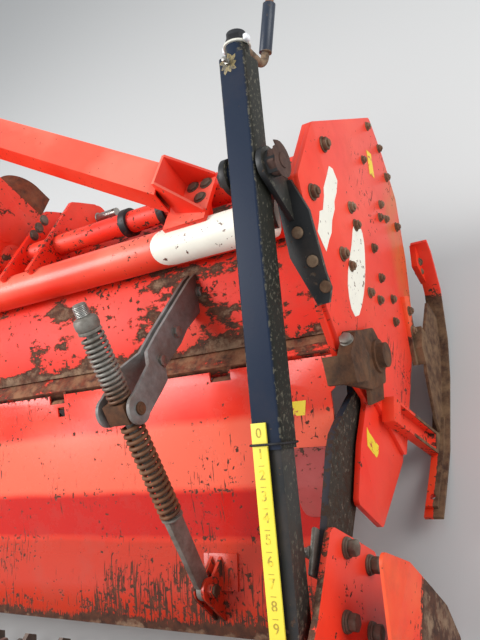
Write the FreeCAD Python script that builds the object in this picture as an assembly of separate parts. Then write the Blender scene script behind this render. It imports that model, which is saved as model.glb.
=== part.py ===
import FreeCAD, Part
import math
import os

os.makedirs("parts", exist_ok=True)
V = FreeCAD.Vector

# A tractor-mounted rotary tiller with side gear drive and a toothed rear roller.
# Millimetres. X points to the machine's right as seen from behind, Y forwards, Z up,
# and the floor is at zero. Lengths along Y are measured from the rotor's axis, and each
# piece is moved by shift_y as it is saved, so that the origin is under the middle.

# Width, side plates and running clearances
half_width = 1250.0          # outer faces of the two side plates
plate_t = 12.0
cover_t = 10.0               # gear case cover on the right plate
corner_r = 14.0              # rounding of plate corners
fit = 0.05                   # radial play of a shaft in its bore
seat = 0.3                   # play between faces that only rest on each other
gap = 6.0                    # room beside a piece that moves
arm_room = 8.0               # between a side plate and the roller arm inside it

# Rotor
rotor_z = 285.0
rotor_tube_r = 45.0
rotor_stub_r = 35.0
stub_into = 34.0             # length of the stub inside its bearing
tine_r = 262.0               # radius to the tip of a blade
tine_t = 8.0
tine_w = 62.0
tine_foot = 92.0             # width of the turned foot
tine_bend = 26.0             # outer radius of the bend in a blade
flange_r = 115.0
flange_t = 12.0
flange_count = 11
tines_per_flange = 6
flange_turn = 17.0           # degrees from one flange's blades to the next

# Main tube, cross shaft and gearbox
tube_y = -90.0
tube_z = 718.0
tube_od = 95.0
tube_wall = 8.0
drive_y = 50.0
drive_z = 725.0
drive_tube_r = 30.0
# places of the two clamps on the cross shaft's tube
drive_rings = (half_width - 610.0, half_width - 480.0)
case_depth = 62.0            # side gear case, inside the right plate
box_half = 150.0             # gearbox, half its width
box_back = 70.0              # from the drive axis to its rear face
box_front = 230.0
box_below = 120.0
box_above = 180.0

# Hood sheet over the rotor, and the channel along its rear edge
deck_t = 6.0
deck_top = 664.0
deck_rear = (-304.0, 549.0)
deck_slope = (-134.0, deck_top)
deck_front = (130.0, deck_top)
deck_nose = (262.0, 560.0)
deck_lip = (318.0, 440.0)
channel_w = 50.0
channel_h = 40.0
channel_t = 5.0

# Trailing board
hinge_y = -370.0
hinge_z = 512.0
hinge_rod_r = 8.0
knuckle_r = 14.0
knuckle_long = 60.0          # of the board's own knuckles
tab_t = 12.0
tab_long = 57.0              # of the channel's knuckle at each hinge tab
tab_inner = 351.0            # start of the inner hinge knuckles
tab_edge = 349.0             # and of the outer ones, from the side plates' outer faces
board_t = 5.0
board_side_gap = 12.0
# y and z of each bend in the board's upper face
board_bends = [(-357, 541), (-450, 479), (-590, 400), (-680, 330), (-785, 285), (-868, 238)]
# x beyond the board's half width and distance down its first band, of its wider upper end
board_end = [(-2, 0), (25, 0), (25, 24), (11, 70), (-2, 80)]
board_hole = 26.0            # square hole beside each inner hinge
notch_long = 24.0            # of the cut in the board's edge over each hinge tab

# Spring rods between board and hood
rod_inset = 383.0            # from the side plate's outer face
rod_eye_y = -795.0
rod_eye_z = 338.0
block_y = -555.0
block_z = 730.0
rod_r = 12.0
rod_beyond = 236.0           # from the block to the rod's upper tip
rod_eye_r = 24.0
rod_eye_t = 14.0
rod_bolt_r = 9.0
rod_eye_play = 5.0           # slack round the bolt, where the linkage is loose
spring_r = 26.0
spring_wire = 9.0
block_half = 21.0            # half the pivot block's width
block_long = 44.0            # along the rod
trunnion_r = 12.0
strap_t = 8.0
strap_end_r = 32.0

# Roller frame and roller
arm_y = -300.0
arm_z = 430.0
arm_pin_r = 20.0
arm_eye_r = 46.0
arm_t = 15.0
# y and z of each corner of an arm, from its pivot back along the upper edge and forwards below
arm_outline = [(-316, 474), (-398, 443), (-440, 466), (-489, 493), (-528, 511), (-567, 514),
               (-800, 492), (-800, 396), (-560, 372), (-430, 360), (-316, 386)]
bracket_t = 12.0
roller_y = -1125.0
roller_tube_r = 168.0
roller_r = 215.0
roller_ring_t = 14.0
roller_ring_count = 19
roller_teeth = 14
roller_stub_r = 30.0
bearing_r = 62.0
bearing_long = 34.0
beam_y = -1130.0
beam_size = 100.0
beam_room = 20.0             # between the roller's teeth and the beam
beam_z = 2 * roller_r + beam_room + beam_size / 2
beam_wall = 8.0
scraper_rear = roller_y - roller_r - 5.0
scraper_low = roller_r + 115.0       # lower edge of the scraper bar
scraper_pitch = 590.0        # between the straps that carry the scraper bar
deflector_out = 96.0         # from the end bracket to the side deflector
deflector_t = 6.0

# Spindle jacks
jack_inset = 60.0            # from the side plate's outer face
jack_pivot_y = -166.0
jack_pivot_z = 912.0
jack_eye_y = -1000.0
jack_eye_z = beam_z - 54.0
jack_outer_w = 60.0
jack_wall = 5.0
jack_corner = 7.0
jack_inner_w = 49.4
jack_up = 233.0              # outer tube above its pivot
jack_down = 528.0            # outer tube below its pivot
jack_pin_r = 12.0
jack_eye_r = 28.0
jack_eye_t = 30.0
jack_eye_play = 3.6          # slack round the pin, where the linkage is loose
jack_plate_t = 12.0
neck_r = 25.0
neck_long = 28.0
crank_r = 9.0
crank_bend = 26.0            # radius of the crank's bend, on its middle line
crank_arm = 118.0
crank_handle = 175.0
crank_turned = -92.0         # degrees from straight outboard, about the jack
crank_lean = 0.2             # how far the handle leans outboard, per length

# Headstock and hitch, with the pins of hitch category 2
link_x = 419.0               # middle of the free part of a lower link pin
link_y = 240.0
link_z = 640.0
link_pin_r = 14.25
link_half = 39.0             # half the free length of the pin
link_shank_r = 18.0          # of the pin inside its bracket
link_t = 15.0
link_room = 100.0            # between the two plates of a bracket
link_eye_r = 42.0
mast_height = 610.0
top_link_y = 345.0
top_link_z = link_z + mast_height
top_link_r = 12.75
clevis_half = 32.0           # half the room between the top link's cheeks
mast_t = 15.0
stay_inset = 325.0           # from a side plate's outer face to the stay's lower end
stay_from = (half_width - stay_inset, -30.0, 815.0)
stay_to = (62.0, 317.0, 1138.0)
stay_w = 60.0
stay_h = 90.0
stay_wall = 5.0
stay_end_x = stay_from[0] - 49.0      # where it meets the end plate on its foot
pto_r = 17.4
pto_end = 385.0
spline_long = 80.0
guard_r = 90.0
guard_t = 4.0
guard_end = 410.0

# Skids
skid_room = 4.0              # between the plate and the runner
skid_w = 46.0
skid_t = 10.0

inner_face = half_width - plate_t
arm_out = inner_face - arm_room
arm_in = arm_out - arm_t
bracket_out = arm_out + bracket_t
board_half = arm_in - board_side_gap
rod_x = half_width - rod_inset
jack_x = half_width - jack_inset
front_end = guard_end
rear_end = scraper_rear
shift_y = -(front_end + rear_end) / 2


def save(name, shape):
    shape.translated(V(0, shift_y, 0)).exportStep("parts/%s.step" % name)


def to_left(shape):
    return shape.mirror(V(0, 0, 0), V(1, 0, 0))


def save_each(name, right):
    """A piece on either side, each as a node of its own."""
    save(name + "_right", right)
    save(name + "_left", to_left(right))


def save_both(name, right):
    """Like pieces on both sides of one body, as one node."""
    save(name, Part.makeCompound(right.Solids + to_left(right).Solids))


def made_for(side, make):
    """A piece that stands on the outside of a plate, which is thicker on the right."""
    if side == "right":
        return make(half_width + cover_t)
    return to_left(make(half_width))


def plate(points, x0, x1):
    """A flat plate across X; points are its outline in (y, z)."""
    corners = [V(x0, y, z) for y, z in points]
    wire = Part.makePolygon(corners + corners[:1])
    return Part.Face(wire).extrude(V(x1 - x0, 0, 0))


def round_plate(points, r, x0, x1):
    """The same with every corner rounded to radius r."""
    starts = []
    ends = []
    edges = []
    for i, (y, z) in enumerate(points):
        here = V(x0, y, z)
        last = V(x0, *points[i - 1])
        ahead = V(x0, *points[(i + 1) % len(points)])
        to_last = (last - here).normalize()
        to_ahead = (ahead - here).normalize()
        half_turn = to_last.getAngle(to_ahead) / 2
        back = r / math.tan(half_turn)
        towards_middle = (to_last + to_ahead).normalize()
        starts.append(here + to_last * back)
        ends.append(here + to_ahead * back)
        mid = here + towards_middle * (r / math.sin(half_turn) - r)
        edges.append(Part.Arc(starts[-1], mid, ends[-1]).toShape())
    for i in range(len(points)):
        edges.append(Part.makeLine(ends[i - 1], starts[i]))
    wire = Part.Wire(Part.__sortEdges__(edges))
    return Part.Face(wire).extrude(V(x1 - x0, 0, 0))


def round_x(y, z, r, x0, x1):
    return Part.makeCylinder(r, x1 - x0, V(x0, y, z), V(1, 0, 0))


def ring_x(y, z, r_out, r_in, x0, x1):
    return round_x(y, z, r_out, x0, x1).cut(round_x(y, z, r_in, x0, x1))


def hex_x(y, z, across, x0, x1):
    """A hexagon nut or head whose flats are that far apart."""
    r = across / math.sqrt(3)
    points = [(y + r * math.cos(math.radians(60 * i)), z + r * math.sin(math.radians(60 * i)))
              for i in range(6)]
    return plate(points, x0, x1)


def fused(shapes):
    whole = shapes[0].fuse(shapes[1:])
    return whole.removeSplitter()


def link_bar(a, ra, b, rb, x0, x1):
    """A flat bar with round ends, of radius ra about a and rb about b, in (y, z)."""
    length = math.hypot(b[0] - a[0], b[1] - a[1])
    turn = math.atan2(b[1] - a[1], b[0] - a[0])
    lean = math.acos((ra - rb) / length)
    corners = []
    for centre, r, side in ((a, ra, 1), (b, rb, 1), (b, rb, -1), (a, ra, -1)):
        angle = turn + side * lean
        corners.append((centre[0] + r * math.cos(angle), centre[1] + r * math.sin(angle)))
    return fused([plate(corners, x0, x1), round_x(*a, ra, x0, x1), round_x(*b, rb, x0, x1)])


def folded(points, t):
    """Outline of a bent sheet of thickness t below a line of points that runs forwards."""
    lower = []
    for i, (y, z) in enumerate(points):
        back = points[max(i - 1, 0)]
        ahead = points[min(i + 1, len(points) - 1)]
        here = (y, z)
        normals = []
        for a, b in ((back, here), (here, ahead)):
            length = math.hypot(b[0] - a[0], b[1] - a[1])
            if length > 0:
                normals.append((-(b[1] - a[1]) / length, (b[0] - a[0]) / length))
        ny = sum(n[0] for n in normals) / len(normals)
        nz = sum(n[1] for n in normals) / len(normals)
        square = ny * ny + nz * nz
        lower.append((y - t * ny / square, z - t * nz / square))
    return points + lower[::-1]


def along(start, end, s, off=0.0):
    """Point at distance s from start towards end in (y, z), moved off to its left."""
    length = math.hypot(end[0] - start[0], end[1] - start[1])
    uy, uz = (end[0] - start[0]) / length, (end[1] - start[1]) / length
    return start[0] + s * uy - off * uz, start[1] + s * uz + off * uy


def bar_on(start, end, s0, s1, low, high, x0, x1):
    """A bar along the line from start to end, between two offsets to its left, in (y, z)."""
    corners = [along(start, end, s0, low), along(start, end, s1, low),
               along(start, end, s1, high), along(start, end, s0, high)]
    return plate(corners, x0, x1)


# Side plates: one flat sheet each, with a long rear wing beside the trailing board.
# The roller arm's pin goes through each.
cover_front = [(40, 838), (373, 576), (338, 474), (277, 356), (135, 256), (-48, 170)]
plate_edge = ((-137, 850), (-336, 668))     # slanted rear edge, under the jack's bracket
plate_outline = cover_front + [(-440, 180), (-635, 278), (-634, 414), (-510, 425),
                               (-402, 416), (-388, 575),
                               plate_edge[1], plate_edge[0]]
pin_hole = round_x(arm_y, arm_z, arm_pin_r + fit, inner_face - 1, half_width + cover_t + 1)
side_plate = round_plate(plate_outline, corner_r, inner_face, half_width)
save_each("side_plate", side_plate.cut(pin_hole))

# The cover closes the gear case. Its rear edge runs down in front of the rear wing.
cover_outline = cover_front + [(-432, 184), (-385, 405), (-376, 575), (-330, 664), plate_edge[0]]
cover = round_plate(cover_outline, corner_r, half_width, half_width + cover_t)
save("gear_case_cover", cover.cut(pin_hole))

# The case behind the plate carries the gear train and the rotor's right bearing.
case_face = inner_face - case_depth
case_outline = [(-30, 652), (130, 652), (150, 420), (140, 230), (80, 182), (-80, 182),
                (-140, 230), (-120, 420)]
case = round_plate(case_outline, corner_r, case_face, inner_face)
bore = round_x(0, rotor_z, rotor_stub_r + fit, case_face - 1, case_face + stub_into + 4)
save("gear_case", case.cut(bore))

# The left end has a round bearing housing inside the plate and a cap outside it.
housing_r = 110.0
cap_r = 90.0
cap_long = 22.0
housing = round_x(0, rotor_z, housing_r, case_face, inner_face).cut(bore)
cap = round_x(0, rotor_z, cap_r, half_width, half_width + cap_long)
cap = cap.makeChamfer(8.0, [e for e in cap.Edges if e.BoundBox.XMin > half_width + cap_long - 1])
save("rotor_bearing_left", Part.makeCompound([to_left(housing), to_left(cap)]))

# Main tube, and the guard tube of the cross shaft with a flange at each end
main_tube = ring_x(tube_y, tube_z, tube_od / 2, tube_od / 2 - tube_wall, -inner_face, inner_face)
save("main_tube", main_tube)
tube_round = round_x(tube_y, tube_z, tube_od / 2, -inner_face - 1, inner_face + 1)
mast_out = box_half + mast_t
flange_room = 10.0
shaft_pieces = [round_x(drive_y, drive_z, drive_tube_r, mast_out, inner_face),
                round_x(drive_y, drive_z, drive_tube_r + 18, mast_out, mast_out + flange_room),
                round_x(drive_y, drive_z, drive_tube_r + 18, inner_face - flange_room, inner_face)]
for x in drive_rings:
    shaft_pieces.append(round_x(drive_y, drive_z, drive_tube_r + 9, x, x + 22))
save("cross_shaft_tube", fused(shaft_pieces))

# Hood sheet, cut round the gearbox
deck_line = [deck_rear, deck_slope, deck_front, deck_nose, deck_lip]
box_base = drive_z - box_below
gearbox = Part.makeBox(2 * box_half, box_back + box_front, box_below + box_above,
                       V(-box_half, drive_y - box_back, box_base))
deck = plate(folded(deck_line, deck_t), -inner_face, inner_face)
save("deck", deck.cut(gearbox))

# Gearbox: a block with rounded upright corners, a flanged lid and its input boss
box_corner = 30.0
boss_r = 62.0
boss_long = 40.0
pto_start = drive_y + box_front - 30.0
gearbox = gearbox.makeFillet(box_corner, [e for e in gearbox.Edges if abs(e.tangentAt(0).z) > 0.9])
lid = Part.makeBox(2 * box_half - 70, box_back + box_front - 70, 14,
                   V(-box_half + 35, drive_y - box_back + 35, drive_z + box_above))
boss = Part.makeCylinder(boss_r, boss_long, V(0, drive_y + box_front, drive_z), V(0, 1, 0))
pto_bore = Part.makeCylinder(pto_r + fit, 90.0, V(0, pto_start, drive_z), V(0, 1, 0))
save("gearbox", fused([gearbox, lid, boss]).cut(pto_bore))

# Input shaft with six splines
pto_in = pto_start + 4.0
pto = Part.makeCylinder(pto_r, pto_end - pto_in, V(0, pto_in, drive_z), V(0, 1, 0))
for i in range(6):
    groove = Part.makeBox(8.0, spline_long + 1.0, 5.0, V(-4.0, pto_end - spline_long, pto_r - 2.6))
    groove.rotate(V(0, 0, 0), V(0, 1, 0), 60.0 * i)
    groove.translate(V(0, 0, drive_z))
    pto = pto.cut(groove)
save("pto_shaft", pto)

# Steel guard over the input shaft: a bent sheet with an arched top, open below
guard_start = drive_y + box_front
guard_low = drive_z - 60.0


def guard_form(r, y0, y1, low):
    arch = Part.makeCylinder(r, y1 - y0, V(0, y0, drive_z), V(0, 1, 0))
    sides = Part.makeBox(2 * r, y1 - y0, drive_z - low, V(-r, y0, low))
    above = Part.makeBox(2 * r, y1 - y0, r, V(-r, y0, drive_z))
    return arch.common(above).fuse(sides)


guard = guard_form(guard_r, guard_start, guard_end, guard_low)
guard = guard.cut(guard_form(guard_r - guard_t, guard_start - 1, guard_end + 1, guard_low - 1))
save("pto_guard", guard.removeSplitter())

# Channel along the hood's rear edge, with the hinge tabs and the hinge rod
channel_back = deck_rear[0] - channel_w + 8.0
channel_top = deck_rear[1] - deck_t - 1.0
channel_low = channel_top - channel_h
channel = Part.makeBox(2 * inner_face, channel_w, channel_h, V(-inner_face, channel_back, channel_low))
hollow = Part.makeBox(2 * inner_face + 2, channel_w - 2 * channel_t, channel_h - channel_t,
                      V(-inner_face - 1, channel_back + channel_t, channel_low - 1))
channel = channel.cut(hollow)
tab_outer = half_width - tab_edge
tab_xs = [-tab_outer - tab_long, -tab_inner - tab_long, tab_inner, tab_outer]
tabs = []
for x in tab_xs:
    tab_at = x if x < 0 else x + tab_long - tab_t
    tabs.append(plate([(channel_back, channel_top - 4), (channel_back, channel_low),
                       (hinge_y, hinge_z - knuckle_r), (hinge_y, hinge_z + 4)], tab_at, tab_at + tab_t))
    tabs.append(round_x(hinge_y, hinge_z, knuckle_r, x, x + tab_long))
hinge_rod = round_x(hinge_y, hinge_z, hinge_rod_r, -inner_face, inner_face)
rod_bore = round_x(hinge_y, hinge_z, hinge_rod_r + fit, -inner_face - 1, inner_face + 1)
save("deck_rear_channel", fused([channel] + tabs).cut(rod_bore))
save("board_hinge_rod", hinge_rod)

# Trailing board: a folded sheet with hinge knuckles, wider at its upper corners, cut out over
# each hinge tab and pierced beside the inner ones
first_bend, second_bend = board_bends[0], board_bends[1]
end_corners = [V(board_half + x, *along(first_bend, second_bend, s)) for x, s in board_end]
band = (second_bend[0] - first_bend[0], second_bend[1] - first_bend[1])
into_board = V(0, *along((0, 0), band, 0, board_t))
upper_corner = Part.Face(Part.makePolygon(end_corners + end_corners[:1])).extrude(into_board)
board_shapes = [plate(folded(board_bends[::-1], board_t), -board_half, board_half),
                upper_corner, to_left(upper_corner)]
for x in tab_xs:
    start = x - 0.5 - knuckle_long if x < 0 else x + tab_long + 0.5
    board_shapes.append(round_x(hinge_y, hinge_z, knuckle_r, start, start + knuckle_long))
board = fused(board_shapes).cut(rod_bore)
for x in tab_xs:
    board = board.cut(round_x(hinge_y, hinge_z, knuckle_r + 1, x - 0.5, x + tab_long + 0.5))
    board = board.cut(bar_on(first_bend, second_bend, -2, notch_long, -4, board_t + 4,
                             x - 0.5, x + tab_long + 0.5))
hole_from = notch_long + 10.0
for x in (tab_inner + 28, -tab_inner - 28 - board_hole):
    board = board.cut(bar_on(first_bend, second_bend, hole_from, hole_from + board_hole, -4, board_t + 4,
                             x, x + board_hole))
save("trailing_board", board)

# Lugs on the board for the spring rods: two cheeks on a base, with the bolt
lug_inner = rod_eye_t / 2 + 1.5
lug_t = 8.0
lug_top_r = 26.0
lug_foot_a = along(board_bends[3], board_bends[4], 30.0)
lug_foot_b = board_bends[4]
lug_foot_c = along(board_bends[4], board_bends[5], 62.0)
lug_pieces = []
for x in (rod_x + lug_inner, rod_x - lug_inner - lug_t):
    lug_pieces.append(plate([lug_foot_a, lug_foot_b, lug_foot_c, (rod_eye_y - lug_top_r, rod_eye_z),
                             (rod_eye_y + lug_top_r, rod_eye_z)], x, x + lug_t))
    lug_pieces.append(round_x(rod_eye_y, rod_eye_z, lug_top_r, x, x + lug_t))
lug_pieces.append(bar_on(lug_foot_b, board_bends[3], 4, 84, 0, 6, rod_x - 34, rod_x + 58))
bolt_from = lug_inner + lug_t
lug_pieces.append(round_x(rod_eye_y, rod_eye_z, rod_bolt_r, rod_x - bolt_from, rod_x + bolt_from))
lug_pieces.append(hex_x(rod_eye_y, rod_eye_z, 27.0, rod_x + bolt_from, rod_x + bolt_from + 12))
lug_pieces.append(hex_x(rod_eye_y, rod_eye_z, 27.0, rod_x - bolt_from - 12, rod_x - bolt_from))
save_both("board_lugs", fused(lug_pieces))

# Brackets that carry the spring rod's pivot block: a pair of joggled bars, close together
# on the hood's slope and apart beside the springs, the inner one further from the rod
strap_half = spring_r + gap
strap_wide = strap_half + 12.0
strap_close = 6.0
strap_from_y = deck_slope[0] - 6.0
joggle = (-418.0, -460.0)
slope_a = along(deck_slope, deck_rear, 8.0)
slope_b = along(deck_slope, deck_rear, 104.0)
strap_outline = [slope_a, slope_b, (-289, 633), (-332, 639), (-405, 664), (-479, 681),
                 (block_y + 8, block_z - strap_end_r), (block_y - 6, block_z + strap_end_r),
                 (-440, 739), (-351, 720), (-168, 672)]


def strap(far):
    """A bar that ends that far from the rod's axis, on its outboard side."""
    plan = [(strap_close, strap_from_y + 40), (strap_close, joggle[0]), (far, joggle[1]),
            (far, block_y - 40), (far + strap_t, block_y - 40), (far + strap_t, joggle[1] + 3),
            (strap_close + strap_t, joggle[0] + 3), (strap_close + strap_t, strap_from_y + 40)]
    corners = [V(rod_x + x, y, deck_rear[1]) for x, y in plan]
    bar = Part.Face(Part.makePolygon(corners + corners[:1])).extrude(V(0, 0, 400))
    form = plate(strap_outline, rod_x, rod_x + far + strap_t)
    form = form.fuse(round_x(block_y, block_z, strap_end_r, rod_x, rod_x + far + strap_t))
    bore = round_x(block_y, block_z, trunnion_r + fit, rod_x, rod_x + far + strap_t + 1)
    return bar.common(form).cut(bore)


inner_strap = strap(strap_wide).mirror(V(rod_x, 0, 0), V(1, 0, 0))
save_both("spring_brackets", Part.makeCompound([strap(strap_half), inner_strap]))

# Pivot block with its two trunnions and the bore for the rod
eye = (rod_eye_y, rod_eye_z)
pivot = (block_y, block_z)
rod_length = math.hypot(block_y - rod_eye_y, block_z - rod_eye_z)
rod_dir = V(0, (block_y - rod_eye_y) / rod_length, (block_z - rod_eye_z) / rod_length)
rod_eye_at = V(rod_x, rod_eye_y, rod_eye_z)
block_low = rod_length - block_long / 2
block_high = rod_length + block_long / 2
block_inner = block_half + strap_wide - strap_half
block = bar_on(eye, pivot, block_low, block_high, -24, 24, rod_x - block_inner, rod_x + block_half)
block = block.fuse(round_x(block_y, block_z, trunnion_r, rod_x - strap_wide - strap_t,
                           rod_x + strap_half + strap_t))
block = block.cut(Part.makeCylinder(rod_r + fit, 120, rod_eye_at + rod_dir * (rod_length - 60), rod_dir))
save_each("spring_block", block)

# Rod with a flattened eye, a spring seat below and a nut above
flat_long = 52.0
collar_at = 150.0
collar_t = 10.0
nut_at = rod_length + 176.0
nut_long = 32.0
rod_pieces = [Part.makeCylinder(rod_r, rod_length + rod_beyond - flat_long,
                                rod_eye_at + rod_dir * flat_long, rod_dir),
              bar_on(eye, pivot, 16, flat_long + 8, -rod_r, rod_r, rod_x - rod_eye_t / 2, rod_x + rod_eye_t / 2),
              round_x(rod_eye_y, rod_eye_z, rod_eye_r, rod_x - rod_eye_t / 2, rod_x + rod_eye_t / 2),
              Part.makeCylinder(spring_r, collar_t, rod_eye_at + rod_dir * collar_at, rod_dir),
              Part.makeCylinder(spring_r - 2, 10, rod_eye_at + rod_dir * nut_at, rod_dir),
              Part.makeCone(spring_r - 2, 15, nut_long - 10, rod_eye_at + rod_dir * (nut_at + 10), rod_dir)]
rod = fused(rod_pieces)
save_each("spring_rod", rod.cut(round_x(rod_eye_y, rod_eye_z, rod_bolt_r + rod_eye_play,
                                        rod_x - spring_r, rod_x + spring_r)))


def coil(start, end):
    """A close spring on the rod between two distances from its eye, as a grooved sleeve."""
    turns = int((end - start) / spring_wire)
    pitch = (end - start) / turns
    profile = [V(rod_r + 4, 0, 0)]
    for i in range(turns):
        profile.append(V(spring_r - 5, 0, i * pitch))
        profile.append(V(spring_r, 0, (i + 0.5) * pitch))
    profile.append(V(spring_r - 5, 0, turns * pitch))
    profile.append(V(rod_r + 4, 0, turns * pitch))
    profile.append(profile[0])
    solid = Part.Face(Part.makePolygon(profile)).revolve(V(0, 0, 0), V(0, 0, 1), 360)
    turn = FreeCAD.Rotation(V(0, 0, 1), rod_dir)
    solid.Placement = FreeCAD.Placement(rod_eye_at + rod_dir * start, turn)
    return solid


lower_coil = coil(collar_at + collar_t + seat, block_low - seat)
upper_coil = coil(block_high + seat, nut_at - seat)
save_each("rod_springs", Part.makeCompound([lower_coil, upper_coil]))

# Roller arm pivot: a pin through the side plate, held outside it by a forged clevis whose
# body reaches up and back over the plate's rear edge
forging_t = 14.0
forging_outline = [(-250, 470), (-262, 398), (-335, 372), (-392, 440), (-446, 556), (-402, 597),
                   (-338, 588), (-290, 520)]
body_outline = [(-350, 512), (-400, 492), (-446, 556), (-402, 597), (-338, 588)]
bridge_outline = [(-400, 532), (-440, 546), (-444, 556), (-402, 596)]
tail_outline = [(-330, 376), (-372, 362), (-424, 430), (-392, 446)]
body_t = 30.0
pin_head_r = 28.0
pin_head_t = 16.0


def arm_pivot(face):
    outer = round_plate(forging_outline, 12, face, face + forging_t)
    body = round_plate(body_outline, 8, face, face + body_t)
    bridge = plate(bridge_outline, arm_out - 4, face + forging_t)
    tail = plate(tail_outline, face, face + 8)
    boss = round_x(arm_y, arm_z, arm_eye_r - 8, face, face + forging_t + 6)
    pin = round_x(arm_y, arm_z, arm_pin_r, arm_in - pin_head_t, face + forging_t)
    head = round_x(arm_y, arm_z, pin_head_r, face + forging_t + 6, face + forging_t + 6 + pin_head_t)
    inner_head = round_x(arm_y, arm_z, pin_head_r, arm_in - pin_head_t, arm_in - 1)
    return fused([outer, body, bridge, tail, boss, pin, head, inner_head])


save("arm_pivots", Part.makeCompound([made_for("right", arm_pivot), made_for("left", arm_pivot)]))

# Roller arms: deep flat bars inside the side plates, cranked up over the wing
arm = fused([plate(arm_outline, arm_in, arm_out), round_x(arm_y, arm_z, arm_eye_r, arm_in, arm_out)])
save_both("roller_arms", arm.cut(round_x(arm_y, arm_z, arm_pin_r + fit, arm_in - 1, arm_out + 1)))

# End brackets with the roller's bearing
bracket_outline = [(-712, 508), (-700, 400), (-690, 292), (-830, 165), (-1010, 138), (-1185, 145),
                   (-1200, 250), (-1195, 558), (-1070, 558), (-880, 520)]
bracket = round_plate(bracket_outline, 22.0, arm_out, bracket_out)
bearing = round_x(roller_y, roller_r, bearing_r, bracket_out, bracket_out + bearing_long)
bearing = bearing.makeChamfer(6.0, [e for e in bearing.Edges if e.BoundBox.XMin > bracket_out + 1
                                    and e.BoundBox.YLength > bearing_r])
stub_end = bracket_out + bearing_long - 12
bearing_bore = round_x(roller_y, roller_r, roller_stub_r + fit, arm_out - 1, stub_end + 4)
save_both("roller_brackets", fused([bracket, bearing]).cut(bearing_bore))

# Side deflectors outside the brackets, each on two spacers
deflector_x = bracket_out + deflector_out
deflector_outline = [(-759, 520), (-733, 375), (-740, 256), (-748, 144), (-789, 40), (-860, 22),
                     (-1010, 30), (-1010, 400), (-900, 440)]
deflector = round_plate(deflector_outline, 18.0, deflector_x, deflector_x + deflector_t)
spacers = [round_x(y, z, 16, bracket_out, deflector_x) for y, z in ((-900, 400), (-960, 270))]
save_both("side_deflectors", fused([deflector] + spacers))

# Cross beam over the roller with the jacks' lower lugs
beam_low = beam_z - beam_size / 2
beam_back = beam_y - beam_size / 2
beam_front = beam_y + beam_size / 2
beam = Part.makeBox(2 * arm_out, beam_size, beam_size, V(-arm_out, beam_back, beam_low))
beam_hollow = Part.makeBox(2 * arm_out + 2, beam_size - 2 * beam_wall, beam_size - 2 * beam_wall,
                           V(-arm_out - 1, beam_back + beam_wall, beam_low + beam_wall))
save("roller_beam", beam.cut(beam_hollow))
lug_in = jack_eye_t / 2 + 1.0
lug_out = lug_in + jack_plate_t
lug_r = 30.0
jack_eye = (jack_eye_y, jack_eye_z)
lug_plates = [round_x(jack_eye_y, jack_eye_z, jack_pin_r, jack_x - lug_out, jack_x + lug_out),
              hex_x(jack_eye_y, jack_eye_z, 36.0, jack_x + lug_out, jack_x + lug_out + 10),
              hex_x(jack_eye_y, jack_eye_z, 36.0, jack_x - lug_out - 10, jack_x - lug_out)]
for x in (jack_x + lug_in, jack_x - lug_out):
    lug_plates.append(plate([(beam_front, beam_low), (beam_front, beam_low + beam_size),
                             (jack_eye_y, jack_eye_z + lug_r), (jack_eye_y, jack_eye_z - lug_r)],
                            x, x + jack_plate_t))
    lug_plates.append(round_x(jack_eye_y, jack_eye_z, lug_r, x, x + jack_plate_t))
save_both("jack_lugs", fused(lug_plates))

# Roller: a tube with toothed rings and a stub at each end
roller_half = arm_in - 11.0
ring_root = roller_tube_r + 12
ring_points = []
tooth_step = 2 * math.pi / roller_teeth
# angle as a share of one tooth, and radius
tooth_shape = [(0.0, ring_root), (0.18, roller_r), (0.46, roller_r), (0.64, ring_root)]
for i in range(roller_teeth):
    for share, radius in tooth_shape:
        a = tooth_step * (i + share)
        ring_points.append((roller_y + radius * math.cos(a), roller_r + radius * math.sin(a)))
ring_span = 2 * (roller_half - 30)
roller_solids = [round_x(roller_y, roller_r, roller_stub_r, -stub_end, stub_end)]
for i in range(roller_ring_count):
    x = -ring_span / 2 + ring_span * i / (roller_ring_count - 1) - roller_ring_t / 2
    roller_solids.append(plate(ring_points, x, x + roller_ring_t))
roller = round_x(roller_y, roller_r, roller_tube_r, -roller_half, roller_half)
save("roller", roller.fuse(roller_solids))

# Scraper bar behind the roller, on straps from the beam
scraper_t = 12.0
scraper_bar_y = scraper_rear + 20.0
strap_points = [(beam_back, beam_z + 40), (beam_back, beam_z - 30), (scraper_bar_y, scraper_low + 50),
                (scraper_bar_y, scraper_low), (scraper_rear, scraper_low), (scraper_rear, scraper_low + 70)]
scraper_shapes = [Part.makeBox(2 * roller_half - 60, 10, 50, V(-roller_half + 30, scraper_bar_y, scraper_low))]
for step in (-1.5, -0.5, 0.5, 1.5):
    x = step * scraper_pitch - scraper_t / 2
    scraper_shapes.append(plate(strap_points, x, x + scraper_t))
save("scraper_bar", fused(scraper_shapes))

# Rotor: tube, flanges and turned blades
rotor_half = case_face - gap
rotor = round_x(0, rotor_z, rotor_tube_r, -rotor_half, rotor_half)
rotor_parts = [round_x(0, rotor_z, rotor_stub_r, -case_face - stub_into, case_face + stub_into)]
flange_span = 2 * (rotor_half - tine_foot - 40)
flange_xs = [-flange_span / 2 + flange_span * i / (flange_count - 1) for i in range(flange_count)]
for x in flange_xs:
    rotor_parts.append(round_x(0, rotor_z, flange_r, x - flange_t / 2, x + flange_t / 2))
save("rotor_shaft", rotor.fuse(rotor_parts))


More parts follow.
